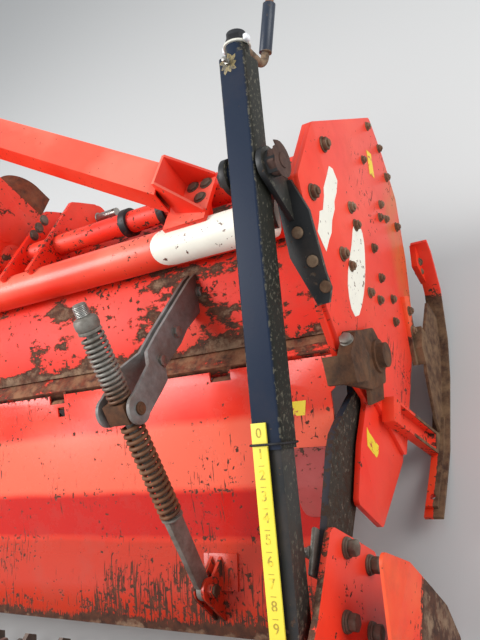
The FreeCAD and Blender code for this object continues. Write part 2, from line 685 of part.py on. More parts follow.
def blade_form():
    """One blade, bent outwards to +X at its tip, standing up from the axis."""
    tip = tine_r - 2
    inner = tine_bend - tine_t
    centre = V(tine_bend, 0, tip - tine_bend)
    diagonal = math.sqrt(0.5)
    foot_low = 62.0
    outer_mid = centre + V(-tine_bend * diagonal, 0, tine_bend * diagonal)
    inner_mid = centre + V(-inner * diagonal, 0, inner * diagonal)
    outer = Part.Arc(V(0, 0, tip - tine_bend), outer_mid, V(tine_bend, 0, tip)).toShape()
    under = Part.Arc(V(tine_t, 0, tip - tine_bend), inner_mid, V(tine_bend, 0, tip - tine_t)).toShape()
    edges = [outer, under,
             Part.makeLine(V(tine_bend, 0, tip), V(tine_foot, 0, tip)),
             Part.makeLine(V(tine_foot, 0, tip), V(tine_foot, 0, tip - tine_t)),
             Part.makeLine(V(tine_foot, 0, tip - tine_t), V(tine_bend, 0, tip - tine_t)),
             Part.makeLine(V(tine_t, 0, tip - tine_bend), V(tine_t, 0, foot_low)),
             Part.makeLine(V(tine_t, 0, foot_low), V(0, 0, foot_low)),
             Part.makeLine(V(0, 0, foot_low), V(0, 0, tip - tine_bend))]
    wire = Part.Wire(Part.__sortEdges__(edges))
    blade = Part.Face(wire).extrude(V(0, tine_w, 0))
    blade.translate(V(0, -tine_w / 2, 0))
    return blade


blades = []
blade_right = blade_form()
blade_left = to_left(blade_right)
for k, x in enumerate(flange_xs):
    for i in range(tines_per_flange):
        side = 1 if i % 2 == 0 else -1
        blade = blade_right.copy() if side > 0 else blade_left.copy()
        blade.translate(V(x + side * flange_t / 2, 0, 0))
        blade.rotate(V(0, 0, 0), V(1, 0, 0), 360.0 / tines_per_flange * i + flange_turn * k)
        blade.translate(V(0, 0, rotor_z))
        blades.append(blade)
save("rotor_blades", Part.makeCompound(blades))

# Spindle jack: outer square tube hung on a bolt, with a round neck for the crank
jack_pivot = (jack_pivot_y, jack_pivot_z)
jack_length = math.hypot(jack_eye_y - jack_pivot_y, jack_eye_z - jack_pivot_z)
jack_dir = V(0, (jack_eye_y - jack_pivot_y) / jack_length, (jack_eye_z - jack_pivot_z) / jack_length)
half_outer = jack_outer_w / 2
half_bore = half_outer - jack_wall
lid_t = 8.0
outer = bar_on(jack_pivot, jack_eye, -jack_up, jack_down, -half_outer, half_outer,
               jack_x - half_outer, jack_x + half_outer)
outer = outer.makeFillet(jack_corner, [e for e in outer.Edges if abs(e.tangentAt(0).dot(jack_dir)) > 0.99])
outer = outer.cut(bar_on(jack_pivot, jack_eye, -jack_up + lid_t, jack_down + 1, -half_bore, half_bore,
                         jack_x - half_bore, jack_x + half_bore))
trunnion_out = half_outer + gap - seat
ears = [round_x(jack_pivot_y, jack_pivot_z, 24, jack_x - trunnion_out, jack_x - half_outer),
        round_x(jack_pivot_y, jack_pivot_z, 24, jack_x + half_outer, jack_x + trunnion_out)]
top_point = V(jack_x, jack_pivot_y, jack_pivot_z) - jack_dir * jack_up
neck = Part.makeCylinder(neck_r, neck_long, top_point, jack_dir * -1)
outer = fused([outer, neck] + ears)
outer = outer.cut(Part.makeCylinder(crank_r + fit, neck_long + 30, top_point + jack_dir * 20, jack_dir * -1))
pin_bore = [round_x(jack_pivot_y, jack_pivot_z, jack_pin_r + fit, jack_x - trunnion_out - 1, jack_x - half_bore + 1),
            round_x(jack_pivot_y, jack_pivot_z, jack_pin_r + fit, jack_x + half_bore - 1, jack_x + trunnion_out + 1)]
save_each("jack_outer", outer.cut(pin_bore))

# Inner tube with a flat eye that sits on the roller beam's pin
half_inner = jack_inner_w / 2
inner_wall = 4.0
inner_start = 150.0
half_core = half_inner - inner_wall
inner = bar_on(jack_pivot, jack_eye, inner_start, jack_length - 40, -half_inner, half_inner,
               jack_x - half_inner, jack_x + half_inner)
inner = inner.cut(bar_on(jack_pivot, jack_eye, inner_start - 1, jack_length - 60, -half_core, half_core,
                         jack_x - half_core, jack_x + half_core))
half_eye = jack_eye_t / 2
inner = fused([inner, bar_on(jack_pivot, jack_eye, jack_length - 62, jack_length, -20, 20,
                             jack_x - half_eye, jack_x + half_eye),
               round_x(jack_eye_y, jack_eye_z, jack_eye_r, jack_x - half_eye, jack_x + half_eye)])
save_each("jack_inner", inner.cut(round_x(jack_eye_y, jack_eye_z, jack_pin_r + jack_eye_play,
                                          jack_x - half_inner, jack_x + half_inner)))

# Depth scale: a flat bar over the jack, carried on a foot by the inner tube
scale_w = 30.0
scale_t = 4.0
scale_low = half_outer + 2.0
scale_from = 480.0
scale_to = 860.0
scale_x = jack_x - 26.0
to_top = -1 if along(jack_pivot, jack_eye, 0, 1)[1] < jack_pivot_z else 1
scale_edges = sorted((to_top * scale_low, to_top * (scale_low + scale_t)))
foot_edges = sorted((to_top * half_inner, to_top * scale_low))
save("depth_scale", fused([
    bar_on(jack_pivot, jack_eye, scale_from, scale_to, scale_edges[0], scale_edges[1], scale_x, scale_x + scale_w),
    bar_on(jack_pivot, jack_eye, scale_to - 16, scale_to, foot_edges[0], foot_edges[1], scale_x, scale_x + scale_w)]))

# Crank: a stub in the neck, a hub over it, an arm across and a leaning handle
lift = jack_dir.cross(V(1, 0, 0)) * (1 if jack_dir.y < 0 else -1)
if lift.z < 0:
    lift = lift * -1
turned = math.radians(crank_turned)
across = V(1, 0, 0) * math.cos(turned) + lift * math.sin(turned)
neck_top = top_point - jack_dir * neck_long
crank_tip = neck_top - jack_dir * 16
corner = crank_tip + across * crank_arm
handle_dir = (jack_dir * -1 + V(crank_lean, 0, 0)).normalize()
bend_turn = across.getAngle(handle_dir)
bend_back = crank_bend * math.tan(bend_turn / 2)
bend_from = corner - across * bend_back
bend_axis = across.cross(handle_dir).normalize()
bend_middle = bend_from + bend_axis.cross(across) * crank_bend
rod_section = Part.Face(Part.Wire(Part.makeCircle(crank_r, bend_from, across)))
bend = rod_section.revolve(bend_middle, bend_axis, math.degrees(bend_turn))
handle_from = corner + handle_dir * bend_back
save_each("jack_crank", fused([
    Part.makeCylinder(crank_r, neck_long + 30, top_point + jack_dir * 10, jack_dir * -1),
    Part.makeCylinder(neck_r + 3, 4, neck_top - jack_dir * 1, jack_dir * -1),
    Part.makeCylinder(neck_r - 5, 26, neck_top - jack_dir * 5, jack_dir * -1),
    Part.makeCylinder(crank_r, crank_arm - bend_back, crank_tip, across),
    bend,
    Part.makeCylinder(crank_r, crank_handle - bend_back, handle_from, handle_dir),
    Part.makeCylinder(14, 110, handle_from + handle_dir * 6, handle_dir)]))

# Jack bracket: a flanged plate on the side plate's slanted edge with an ear up to the bolt,
# an inner plate on the main tube, and the bolt with its nut
ear_in = jack_x + half_outer + gap
inner_ear_x = jack_x - half_outer - gap
ear_r = 36.0
web_t = 10.0
flange_deep = 36.0
# x from the jack's axis and distance down the slanted edge
web_shape = [(18, 8), (56, 8), (81, 75), (89, 199), (94, 232), (84, 260), (60, 262), (21, 158)]
flange_shape = [(18, 28), (26, 28), (29, 157), (46, 203), (38.6, 205), (21, 158)]
edge_from, edge_to = plate_edge
web_points = [V(jack_x + x, *along(edge_from, edge_to, s)) for x, s in web_shape]
web_face = Part.Face(Part.makePolygon(web_points + web_points[:1]))
up_back = V(0, *along((0, 0), (edge_to[0] - edge_from[0], edge_to[1] - edge_from[1]), 0, -1))
web = web_face.extrude(up_back * web_t)
flange_points = [V(jack_x + x, *along(edge_from, edge_to, s)) for x, s in flange_shape]
flange = Part.Face(Part.makePolygon(flange_points + flange_points[:1])).extrude(up_back * -flange_deep)
ear = link_bar(jack_pivot, ear_r, along(edge_from, edge_to, 60, 6), 32, ear_in, inner_face)
inner_ear = fused([link_bar(jack_pivot, ear_r, (tube_y, tube_z + 40), 56,
                            inner_ear_x - jack_plate_t, inner_ear_x)])
inner_ear = inner_ear.cut(tube_round)
bolt = round_x(jack_pivot_y, jack_pivot_z, jack_pin_r, inner_ear_x - jack_plate_t - 12, inner_face + 24)
nut = hex_x(jack_pivot_y, jack_pivot_z, 46.0, inner_face, inner_face + 22)
head = hex_x(jack_pivot_y, jack_pivot_z, 36.0, inner_ear_x - jack_plate_t - 14, inner_ear_x - jack_plate_t)
save_both("jack_brackets", fused([web, flange, ear, inner_ear, bolt, nut, head]))

# Skids: a bent runner outside each plate, with an upright web, a slotted strap to the
# plate in front and a leaning channel behind
skid_line = [(-530, 62), (-400, 26), (-330, skid_t), (-110, skid_t), (0, 32), (130, 102), (196, 196), (204, 236)]
web_outline = [(60, 66), (52, 150), (-80, 168), (-170, 140), (-262, 60), (-290, skid_t - 2), (-60, skid_t - 2)]
strap_from = (-4, 262)
strap_to = (-150, 148)
prop_from = (-392, 352)
prop_to = (-318, 14)


def skid(face):
    near = face + skid_room
    runner = plate(folded(skid_line, skid_t), near, near + skid_w)
    upright = plate(web_outline, near + 18, near + 26)
    hanger = plate([(148, 205), (206, 232), (200, 196), (148, 122)], face, near + 12)
    strap_bar = bar_on(strap_from, strap_to, 0, 184, -20, 20, face, face + 10)
    slot = link_bar(along(strap_from, strap_to, 100), 9, along(strap_from, strap_to, 150), 9, face + 4, face + 11)
    strap_foot = plate([(-60, 168), (-60, 196), (-120, 184), (-150, 148), (-120, 130)], face, near + 26)
    length = math.hypot(prop_to[0] - prop_from[0], prop_to[1] - prop_from[1])
    prop = bar_on(prop_from, prop_to, 0, length, -28, 28, face, near + 24)
    groove = bar_on(prop_from, prop_to, 44, length - 30, -21, 21, face + 8, near + 25)
    tail = plate(folded([(-505, 66), (-400, 36), (-330, 20), (-240, 20)], 10), near + 4, near + 34)
    hole = Part.makeCylinder(8, 60, V(near + 19, -478, 20), V(0, 0, 1))
    return fused([runner, upright, hanger, strap_bar.cut(slot), strap_foot, prop.cut(groove), tail]).cut(hole)


save("skid_right", made_for("right", skid))
cap_room = to_left(round_x(0, rotor_z, cap_r + 2, half_width - 1, half_width + 2 * cap_long))
save("skid_left", made_for("left", skid).cut(cap_room))

# Feet of the stays: a bolted plate on the main tube with an end plate and two cheeks
stay_axis = V(*stay_to) - V(*stay_from)
stay_plan = V(stay_axis.x, stay_axis.y, 0).normalize()
foot_low = tube_z + tube_od / 2
foot_t = 12.0
foot_top = foot_low + foot_t
foot_out = stay_from[0] + 47.0
foot_in = stay_end_x - 26.0
foot_front = 66.0
share = (stay_from[0] - stay_end_x) / (stay_from[0] - stay_to[0])
stay_end_y = stay_from[1] + share * (stay_to[1] - stay_from[1])
stay_end_z = stay_from[2] + share * (stay_to[2] - stay_from[2])
end_top = stay_end_z + stay_h / 2
stay_side = stay_w / 2 / abs(stay_plan.x)
foot = Part.makeBox(foot_out - foot_in, foot_front - tube_y, foot_t, V(foot_in, tube_y, foot_low))
end_plate = Part.makeBox(8, 58 - (stay_end_y - stay_side), end_top - foot_top,
                         V(stay_end_x, stay_end_y - stay_side, foot_top))


def cheek(y_near, y_far, t):
    """An upright cheek from the end plate down to the foot's outer edge."""
    corners = [V(stay_end_x, y_near, foot_top), V(foot_out, y_far, foot_top), V(foot_out, y_far, foot_top + 8),
               V(stay_end_x + 8, y_near, end_top), V(stay_end_x, y_near, end_top)]
    corners[3].y = y_near + (y_far - y_near) * 8 / (foot_out - stay_end_x)
    return Part.Face(Part.makePolygon(corners + corners[:1])).extrude(V(0, t, 0))


rib_pieces = [plate([(tube_y, foot_low), (40, foot_low), (-45, 700)], x, x + 10).cut(tube_round)
              for x in (foot_in + 10.0, foot_out - 37.0)]
rib_pieces = [max(rib.Solids, key=lambda solid: solid.Volume) for rib in rib_pieces]
stay_seat = fused([foot, end_plate, cheek(stay_end_y - stay_side, stay_end_y - stay_side - 30, 8),
                   cheek(50, 50, 8)] + rib_pieces)
save_both("stay_feet", stay_seat)

# Stays: box sections from their feet up to the mast plates
stay = Part.makeBox(stay_w, stay_h, stay_axis.Length, V(-stay_w / 2, -stay_h / 2, 0))
stay = stay.cut(Part.makeBox(stay_w - 2 * stay_wall, stay_h - 2 * stay_wall, stay_axis.Length + 2,
                             V(-stay_w / 2 + stay_wall, -stay_h / 2 + stay_wall, -1)))
stay_turn = FreeCAD.Rotation(V(0, 0, 1).cross(stay_axis).cross(stay_axis), V(), stay_axis, "ZXY")
stay.Placement = FreeCAD.Placement(V(*stay_from), stay_turn)
between = Part.makeBox(stay_end_x - mast_out, 2000, 2000, V(mast_out, -1000, 0))
save_both("stays", stay.common(between))

# Mast: a plate on each side of the gearbox with a plain raised oval, and a cross beam
# with the top link's two cheeks
mast_top = top_link_z - 60.0
slope_at = (205.0, deck_front[1] + (205.0 - deck_front[0]) * (deck_nose[1] - deck_front[1])
            / (deck_nose[0] - deck_front[0]))
mast_outline = [(-20, deck_top), deck_front, slope_at, (262, deck_nose[1]), (262, 900), (300, 1060),
                (335, mast_top), (235, mast_top), (170, 1080), (60, 905), (-20, 880)]
mast = plate(mast_outline, box_half, mast_out)
oval = link_bar((112, 792), 34, (188, 784), 32, mast_out, mast_out + 3)
mast = fused([mast, oval]).cut(round_x(drive_y, drive_z, drive_tube_r - 6, box_half - 1, mast_out + 4))
save_both("mast_plates", mast)

beam_h = 40.0
cross = Part.makeBox(2 * box_half, 80, beam_h, V(-box_half, 245, mast_top - beam_h))
clevis = [cross]
for x in (clevis_half, -clevis_half - mast_t):
    cheek_plate = plate([(245, mast_top - 1), (325, mast_top - 1), (top_link_y + 36, top_link_z),
                         (top_link_y - 32, top_link_z + 12)], x, x + mast_t)
    clevis.append(cheek_plate)
    clevis.append(round_x(top_link_y, top_link_z, 36, x, x + mast_t))
link_bore = round_x(top_link_y, top_link_z, top_link_r, -clevis_half - mast_t - 1, clevis_half + mast_t + 1)
save("headstock", fused(clevis).cut(link_bore))

# Lower link brackets: two plates on the hood and over the main tube, pierced by the cross
# shaft's tube, with a pin that stands out to the side
lug_outline = [(tube_y - 4, deck_top), deck_front, deck_nose, (link_y + link_eye_r - 4, link_z - 8),
               (link_y + 30, link_z + 34), (226, 728), (205, 752), (tube_y - 4, 786)]
pierced = [round_x(drive_y, drive_z, drive_tube_r + seat, link_x - 300, link_x),
           round_x(link_y, link_z, link_shank_r + fit, link_x - 300, link_x)]
outer_lug = link_x - link_half - link_t
inner_lug = outer_lug - link_room - link_t
lugs = []
for x in (outer_lug, inner_lug):
    lug = plate(lug_outline, x, x + link_t)
    lug = lug.fuse(round_x(link_y, link_z, link_eye_r, x, x + link_t))
    lug = lug.cut(pierced + [tube_round])
    lugs.append(max(lug.Solids, key=lambda solid: solid.Volume))
save_both("lower_link_brackets", Part.makeCompound(lugs))
pin_end = link_x + link_half
link_shank = round_x(link_y, link_z, link_shank_r, inner_lug - 10, outer_lug + link_t)
link_pin = round_x(link_y, link_z, link_pin_r, outer_lug + link_t, pin_end)
pin_collar = round_x(link_y, link_z, link_shank_r + 7, inner_lug - 10, inner_lug - seat)
linch_hole = Part.makeCylinder(5.5, 60, V(pin_end - 8, link_y, link_z - 30), V(0, 0, 1))
save_both("lower_link_pins", fused([link_pin, link_shank, pin_collar]).cut(linch_hole))
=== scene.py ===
import math

import bpy
from mathutils import Matrix, Vector


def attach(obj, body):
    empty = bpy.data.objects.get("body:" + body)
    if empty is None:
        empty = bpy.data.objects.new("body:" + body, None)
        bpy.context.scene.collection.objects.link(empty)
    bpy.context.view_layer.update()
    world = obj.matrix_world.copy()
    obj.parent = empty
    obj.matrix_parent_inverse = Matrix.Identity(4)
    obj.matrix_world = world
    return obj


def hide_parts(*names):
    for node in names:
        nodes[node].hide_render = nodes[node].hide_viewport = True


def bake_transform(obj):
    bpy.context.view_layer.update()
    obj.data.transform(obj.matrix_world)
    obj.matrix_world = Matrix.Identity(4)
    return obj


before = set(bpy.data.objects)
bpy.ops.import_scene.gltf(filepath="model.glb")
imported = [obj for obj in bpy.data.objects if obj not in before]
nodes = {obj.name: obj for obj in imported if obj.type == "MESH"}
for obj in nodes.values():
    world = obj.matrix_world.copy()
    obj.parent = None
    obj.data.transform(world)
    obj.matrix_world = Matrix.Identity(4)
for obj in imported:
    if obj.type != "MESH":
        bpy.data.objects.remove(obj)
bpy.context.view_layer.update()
bpy.ops.object.select_all(action="DESELECT")

# The camera stands behind the tiller's right end, above it, and looks forwards and down. Its
# three axes were worked out from the machine's parallel edges.
bpy.ops.object.camera_add(location=(1.7623, -0.626, 1.5615))
camera = bpy.context.object
camera.name = "photo_camera"
right_of_view = Vector((0.84215, 0.18309, -0.50721))
up_of_view = Vector((0.16522, 0.80775, 0.56590))
back_of_view = Vector((0.51331, -0.56037, 0.65000))
camera_axes = Matrix((right_of_view, up_of_view, back_of_view)).transposed()
camera.rotation_euler = camera_axes.to_euler()
camera.data.lens = 36.0
camera.data.sensor_width = 36.0
camera.data.clip_start = 0.02
bpy.context.scene.camera = camera
bpy.context.scene.view_settings.view_transform = "Standard"


# Pale studio floor under a broad soft lamp over the tiller's left, with a second one that
# lights the right side plate and a weak one behind.
def feed(node, inputs):
    """Give a node's inputs their values, or link them to the sockets that drive them."""
    for name, value in inputs.items():
        if isinstance(value, bpy.types.NodeSocket):
            node.id_data.links.new(value, node.inputs[name])
        else:
            node.inputs[name].default_value = value


bpy.ops.mesh.primitive_plane_add(size=30.0)
floor = bpy.context.object
floor.name = "studio_floor"
floor_paint = bpy.data.materials.new("pale_floor")
floor_paint.use_nodes = True
feed(floor_paint.node_tree.nodes["Principled BSDF"],
     {"Base Color": (0.60, 0.60, 0.59, 1), "Roughness": 0.95})
floor.data.materials.append(floor_paint)

world = bpy.data.worlds.new("studio_air")
bpy.context.scene.world = world
world.use_nodes = True
feed(world.node_tree.nodes["Background"], {"Color": (0.93, 0.96, 1.0, 1), "Strength": 0.62})
lit_place = Vector((0.6, 0.0, 0.5))
# place, size in metres and power in watts
lamps = (
    ((-2.1, -0.75, 4.5), 2.6, 250),
    ((5.0, 1.2, 2.6), 2.6, 105),
    ((1.0, -5.0, 2.2), 2.0, 20),
)
for place, size, watts in lamps:
    aim = (lit_place - Vector(place)).to_track_quat("-Z", "Y").to_euler()
    bpy.ops.object.light_add(type="AREA", location=place, rotation=aim)
    lamp = bpy.context.object
    lamp.data.size = size
    lamp.data.energy = watts
bpy.ops.object.select_all(action="DESELECT")


# The main tube is a thick round tube across the machine, welded between the side plates.
# Enamel sprayed over primer: it fades, chips to brown primer and rust, and gets scratched. Its
# upper faces are painted pale, as a highlight of the sky.
def add(source, kind, inputs, **settings):
    """A new node in the tree that a socket belongs to, given its settings and inputs."""
    node = source.id_data.nodes.new(kind)
    for name, value in settings.items():
        setattr(node, name, value)
    feed(node, inputs)
    return node.outputs


def noise_on(place, scale, detail=4.0, rough=0.55, stretch=(1, 1, 1), start=(0, 0, 0)):
    """Noise on the machine's own coordinates, stretched along them."""
    mapped = add(place, "ShaderNodeMapping", {"Vector": place, "Scale": stretch, "Location": start})
    return add(place, "ShaderNodeTexNoise", {"Vector": mapped["Vector"], "Scale": scale,
                                             "Detail": detail, "Roughness": rough})["Fac"]


def ramp(value, low, high, to_low=0.0, to_high=1.0):
    """Map low to high onto another range and hold it at the ends."""
    return add(value, "ShaderNodeMapRange", {"Value": value, "From Min": low, "From Max": high,
                                             "To Min": to_low, "To Max": to_high},
               clamp=True)["Result"]


def calc(operation, a, b=0.0):
    return add(a, "ShaderNodeMath", {0: a, 1: b}, operation=operation)["Value"]


def times(a, b):
    return calc("MULTIPLY", a, b)


def plus(a, b):
    return calc("ADD", a, b)


def blend_of(share, a, b):
    """Tone a turning into tone b with its share."""
    a, b = (tone + (1,) if isinstance(tone, tuple) else tone for tone in (a, b))
    return add(share, "ShaderNodeMix", {"Factor": share, 6: a, 7: b}, data_type="RGBA")[2]


def axes_of(vector):
    return add(vector, "ShaderNodeSeparateXYZ", {"Vector": vector})


def reach_along(place, start, direction):
    """How far a point lies from start in that direction."""
    shifted = add(place, "ShaderNodeVectorMath", {0: place, 1: start}, operation="SUBTRACT")
    return add(place, "ShaderNodeVectorMath", {0: shifted["Vector"], 1: direction},
               operation="DOT_PRODUCT")["Value"]


def near_to(value, middle, half, soft):
    """1 where a value is within half of the middle value, with a soft edge."""
    away = calc("ABSOLUTE", calc("SUBTRACT", value, middle))
    return ramp(away, half, half + soft, 1.0, 0.0)


def emboss(shader, height, strength, depth):
    bump = add(height, "ShaderNodeBump",
               {"Strength": strength, "Distance": depth, "Height": height})
    feed(shader, {"Normal": bump["Normal"]})


def finish_of(name, metallic=0.0):
    """A new material with its shader, the machine's coordinates and the face's direction."""
    made = bpy.data.materials.new(name)
    made.use_nodes = True
    shader = made.node_tree.nodes["Principled BSDF"]
    feed(shader, {"Metallic": metallic})
    where = made.node_tree.nodes.new("ShaderNodeTexCoord")
    return made, shader, where.outputs["Object"], where.outputs["Normal"]


RUST = (0.120, 0.043, 0.022)
DARK_RUST = (0.045, 0.021, 0.014)
TAN = (0.27, 0.17, 0.105)
SOIL = (0.150, 0.088, 0.055)
RED = (0.84, 0.024, 0.007)
RED_FADED = (0.91, 0.070, 0.032)
# pale tone painted on faces that look up, as a highlight of the sky
SHEEN_SALMON = (0.94, 0.20, 0.13)


def flecked_sides(place, facing, cluster, start, colour, side_tone, side_fleck):
    """The weathered tone of faces that look left or right, with flecks on them and along
    their rounded rims."""
    across = calc("ABSOLUTE", axes_of(facing)[0])
    colour = blend_of(ramp(across, 0.45, 0.85), colour, side_tone)
    fine = noise_on(place, 150.0, 4.0, 0.7, start=start, stretch=(1, 0.6, 1))
    fleck = ramp(plus(fine, times(cluster, 0.25)), 0.68, 0.76)
    fleck = times(fleck, ramp(across, 0.55, 0.9))
    rim = times(near_to(across, 0.66, 0.14, 0.14),
                ramp(noise_on(place, 95.0, 4.0, 0.7, start=start), 0.52, 0.58))
    return blend_of(calc("MAXIMUM", fleck, times(rim, 0.8)), colour, side_fleck)


def worn_paint(name, paint=RED, faded=RED_FADED, bare=RUST, tan=TAN, patches=0.3, patch_size=11.0,
               patch_stretch=(1, 1, 1), chips=0.35, chip_size=75.0, scratches=0.0, lines=(40, 3, 3),
               zones=(), creases=(), tints=(), side_tone=None, side_fleck=(0.12, 0.11, 0.08),
               bare_where=None, soil_rub_and_sheen=None, soil_rub_and_sheen_tone=SHEEN_SALMON, dirt=0.2, rough=0.36, shine=0.36,
               seed=0.0):
    """Paint that wears through in patches, chips and scratches. Zones are (axis, from, to,
    amount) and wear it more towards one side, creases are places along Y where it chips in a
    line, tints are (axis, middle, half, soft, colour, share) and colour it in a band, weathered
    or as painted shade and highlight, side_tone is the weathered tone of faces that look left or
    right, and the rub-and-sheen mask turns it to its tone where soil has rubbed it or as a painted
    sky highlight."""
    made, shader, place, facing = finish_of(name)
    start = (seed, seed * 0.7, seed * 1.3)
    parts = axes_of(place)
    # broad clusters, in which chips and scratches gather
    cluster = noise_on(place, 4.5, 3.0, start=start)
    off_cluster = calc("SUBTRACT", cluster, 0.5)
    extra = None
    for axis, low, high, amount in zones:
        one = ramp(parts[axis], low, high, 0.0, amount)
        extra = one if extra is None else plus(extra, one)
    if bare_where:
        one = bare_where(parts, axes_of(facing))
        extra = one if extra is None else plus(extra, one)

    def worn(value, amount, soft):
        if extra is not None:
            value = plus(value, extra)
        edge = 0.74 - 0.22 * amount
        return ramp(value, edge, edge + soft)

    # where the paint is gone
    patch_noise = noise_on(place, patch_size, 9.0, 0.68, patch_stretch, start)
    patch_middle = worn(patch_noise, patches - 0.22, 0.05)
    chip_noise = plus(noise_on(place, chip_size, 4.0, 0.6, start=start), times(off_cluster, 0.55))
    for crease in creases:
        beside = near_to(parts[1], crease, 0.002, 0.006)
        chip_noise = plus(chip_noise, times(beside, 0.075))
    mask = calc("MAXIMUM", worn(patch_noise, patches, 0.02), worn(chip_noise, chips, 0.03))
    if scratches:
        line_noise = plus(noise_on(place, 6.0, 5.0, 0.6, lines, start), times(off_cluster, 0.7))
        mask = calc("MAXIMUM", mask, worn(line_noise, scratches, 0.03))

    # the paint that is left
    fade = ramp(noise_on(place, 3.2, 5.0, 0.6, start=start), 0.36, 0.68)
    colour = blend_of(fade, paint, faded)
    # bands in another tone: weathering, and on the board also painted highlight and painted shade
    for axis, middle, half, soft, band_tone, share in tints:
        waver = ramp(cluster, 0.3, 0.7, -0.2 * soft, 0.2 * soft)
        band = near_to(plus(parts[axis], waver), middle, half, soft)
        colour = blend_of(times(band, share), colour, band_tone)
    # soil rubbed into it, or on faces that look up a painted highlight of the sky
    if soil_rub_and_sheen:
        colour = blend_of(soil_rub_and_sheen(place, axes_of(facing)), colour, soil_rub_and_sheen_tone)
    if side_tone:
        colour = flecked_sides(place, facing, cluster, start, colour, side_tone, side_fleck)
    grime = ramp(noise_on(place, 8.0, 8.0, 0.7, start=(seed + 3, 1, 0)), 0.50, 0.80, 0.0, dirt)
    if extra is not None:
        grime = plus(grime, times(extra, 0.8))
    colour = blend_of(grime, colour, SOIL)

    # the steel under it, tan in the middle of large patches
    mottle = ramp(noise_on(place, 45.0, 6.0, 0.7), 0.35, 0.65)
    under = blend_of(mottle, bare, DARK_RUST)
    pale = ramp(noise_on(place, 26.0, 6.0, 0.7), 0.38, 0.62)
    under = blend_of(times(patch_middle, pale), under, tan)
    dull = ramp(calc("MAXIMUM", mask, grime), 0.0, 1.0, rough, 0.88)
    feed(shader, {"Base Color": blend_of(mask, colour, under), "Roughness": dull,
                  "Specular IOR Level": shine})
    grain = times(noise_on(place, 160.0, 3.0), 0.25)
    emboss(shader, calc("SUBTRACT", grain, mask), 0.45, 0.0012)
    return made


def looks_up(place, facing):
    """Painted highlight: the sky's sheen as a pale tone on faces that look up, in broad uneven
    areas.
    """
    uneven = ramp(noise_on(place, 2.6, 4.0, 0.55), 0.40, 0.58, 0.35, 1.0)
    return times(ramp(facing[2], 0.30, 0.95), uneven)


def dress(material, *names, edge=0.0012):
    """Give CAD nodes a finish, smooth their round faces and break their edges."""
    for name in names:
        item = nodes[name]
        item.data.materials.clear()
        item.data.materials.append(material)
        item.data.polygons.foreach_set("use_smooth", [True] * len(item.data.polygons))
        weld = item.modifiers.new("join", "WELD")
        weld.merge_threshold = 0.00002
        if edge:
            bevel = item.modifiers.new("edges", "BEVEL")
            bevel.width = edge
            bevel.segments = 2
            bevel.limit_method = "ANGLE"
            bevel.angle_limit = math.radians(38)
            bevel.use_clamp_overlap = True
        split = item.modifiers.new("corners", "EDGE_SPLIT")
        split.split_angle = math.radians(32)


# its upper faces carry a painted highlight of the sky
red_tube = worn_paint("red_tube", patches=0.10, chips=0.30, soil_rub_and_sheen=looks_up, dirt=0.12, rough=0.30)
dress(red_tube, "main_tube")


# A white strip is stuck round the tube's upper side beside the jack: it is thin film with
# round ends, rubbed through in small flakes, and it carries nothing.
def at(x, y, z):
    """A place in millimetres, with y from the rotor's axis, in the scene's metres."""
    rotor_y = 467.5
    return Vector((x / 1000, (y + rotor_y) / 1000, z / 1000))


def settle(piece, name, material, body="frame"):
    """Put a piece's place into its mesh, give it its finish and let it ride on its body."""
    piece.name = name
    piece.data.transform(piece.matrix_world)
    piece.matrix_world = Matrix.Identity(4)
    piece.data.materials.clear()
    piece.data.materials.append(material)
    if body:
        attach(piece, body)
    bpy.ops.object.select_all(action="DESELECT")
    return piece


def film(name, colour, bare, share, rough=0.45):
    made, shader, place, _ = finish_of(name)
    edge = 0.66 - share * 0.1
    flakes = ramp(noise_on(place, 60.0, 5.0, 0.65), edge, edge + 0.03)
    stain = ramp(noise_on(place, 14.0, 6.0, 0.65), 0.42, 0.75, 0.0, 0.35)
    tone = blend_of(stain, colour, tuple(0.72 * c for c in colour))
    feed(shader, {"Base Color": blend_of(flakes, tone, bare), "Roughness": rough})
    return made


def smooth(piece):
    """Smooth the round faces of the active piece, and leave its corners sharp."""
    bpy.ops.object.shade_smooth_by_angle(angle=math.radians(35))
    return piece


def thicken(sheet, thickness, offset=-1):
    """Give the active sheet a wall, inwards or with an offset of 1 outwards."""
    wall = sheet.modifiers.new("wall", "SOLIDIFY")
    wall.thickness = thickness
    wall.offset = offset
    bpy.ops.object.modifier_apply(modifier="wall")


white_film = film("white_film", (0.90, 0.87, 0.75), RUST, 0.3)
tube_axis = at(0, -90, 718)
strip_r = 0.0475 + 0.0005
strip_from, strip_to = 0.805, 1.165
strip_low, strip_high = math.radians(-24), math.radians(126)
end_round = 0.045
bpy.ops.mesh.primitive_grid_add(x_subdivisions=48, y_subdivisions=18, size=1.0)
strip = bpy.context.object
for corner in strip.data.vertices:
    along_share, round_share = corner.co.x + 0.5, corner.co.y + 0.5
    inward = end_round * (1 - math.sqrt(max(0.0, 1 - (2 * round_share - 1) ** 2)))
    x = strip_from + inward + (strip_to - strip_from - 2 * inward) * along_share
    turn = strip_low + (strip_high - strip_low) * round_share
    corner.co = (x, tube_axis.y - strip_r * math.cos(turn), tube_axis.z + strip_r * math.sin(turn))
thicken(strip, 0.0003)
settle(smooth(strip), "tube_strip", white_film)


# Side plates and the gear case cover: thick flat plate, scratched towards the front edge and
# rubbed ochre along its lower part, where soil runs along it.
def lower_front(place, facing):
    """Along the plate's lower front edge, a slope through y 0.62 and z 0.371."""
    beyond = reach_along(place, (0, 0.620, 0.371), (0, 0.68, -0.73))
    low_down = ramp(axes_of(place)[2], 0.46, 0.39)
    streaks = ramp(noise_on(place, 22.0, 6.0, 0.65, (1, 0.5, 1.5)), 0.32, 0.62, 0.25, 1.0)
    return times(times(ramp(beyond, -0.065, -0.005, 0.0, 0.8), low_down), streaks)


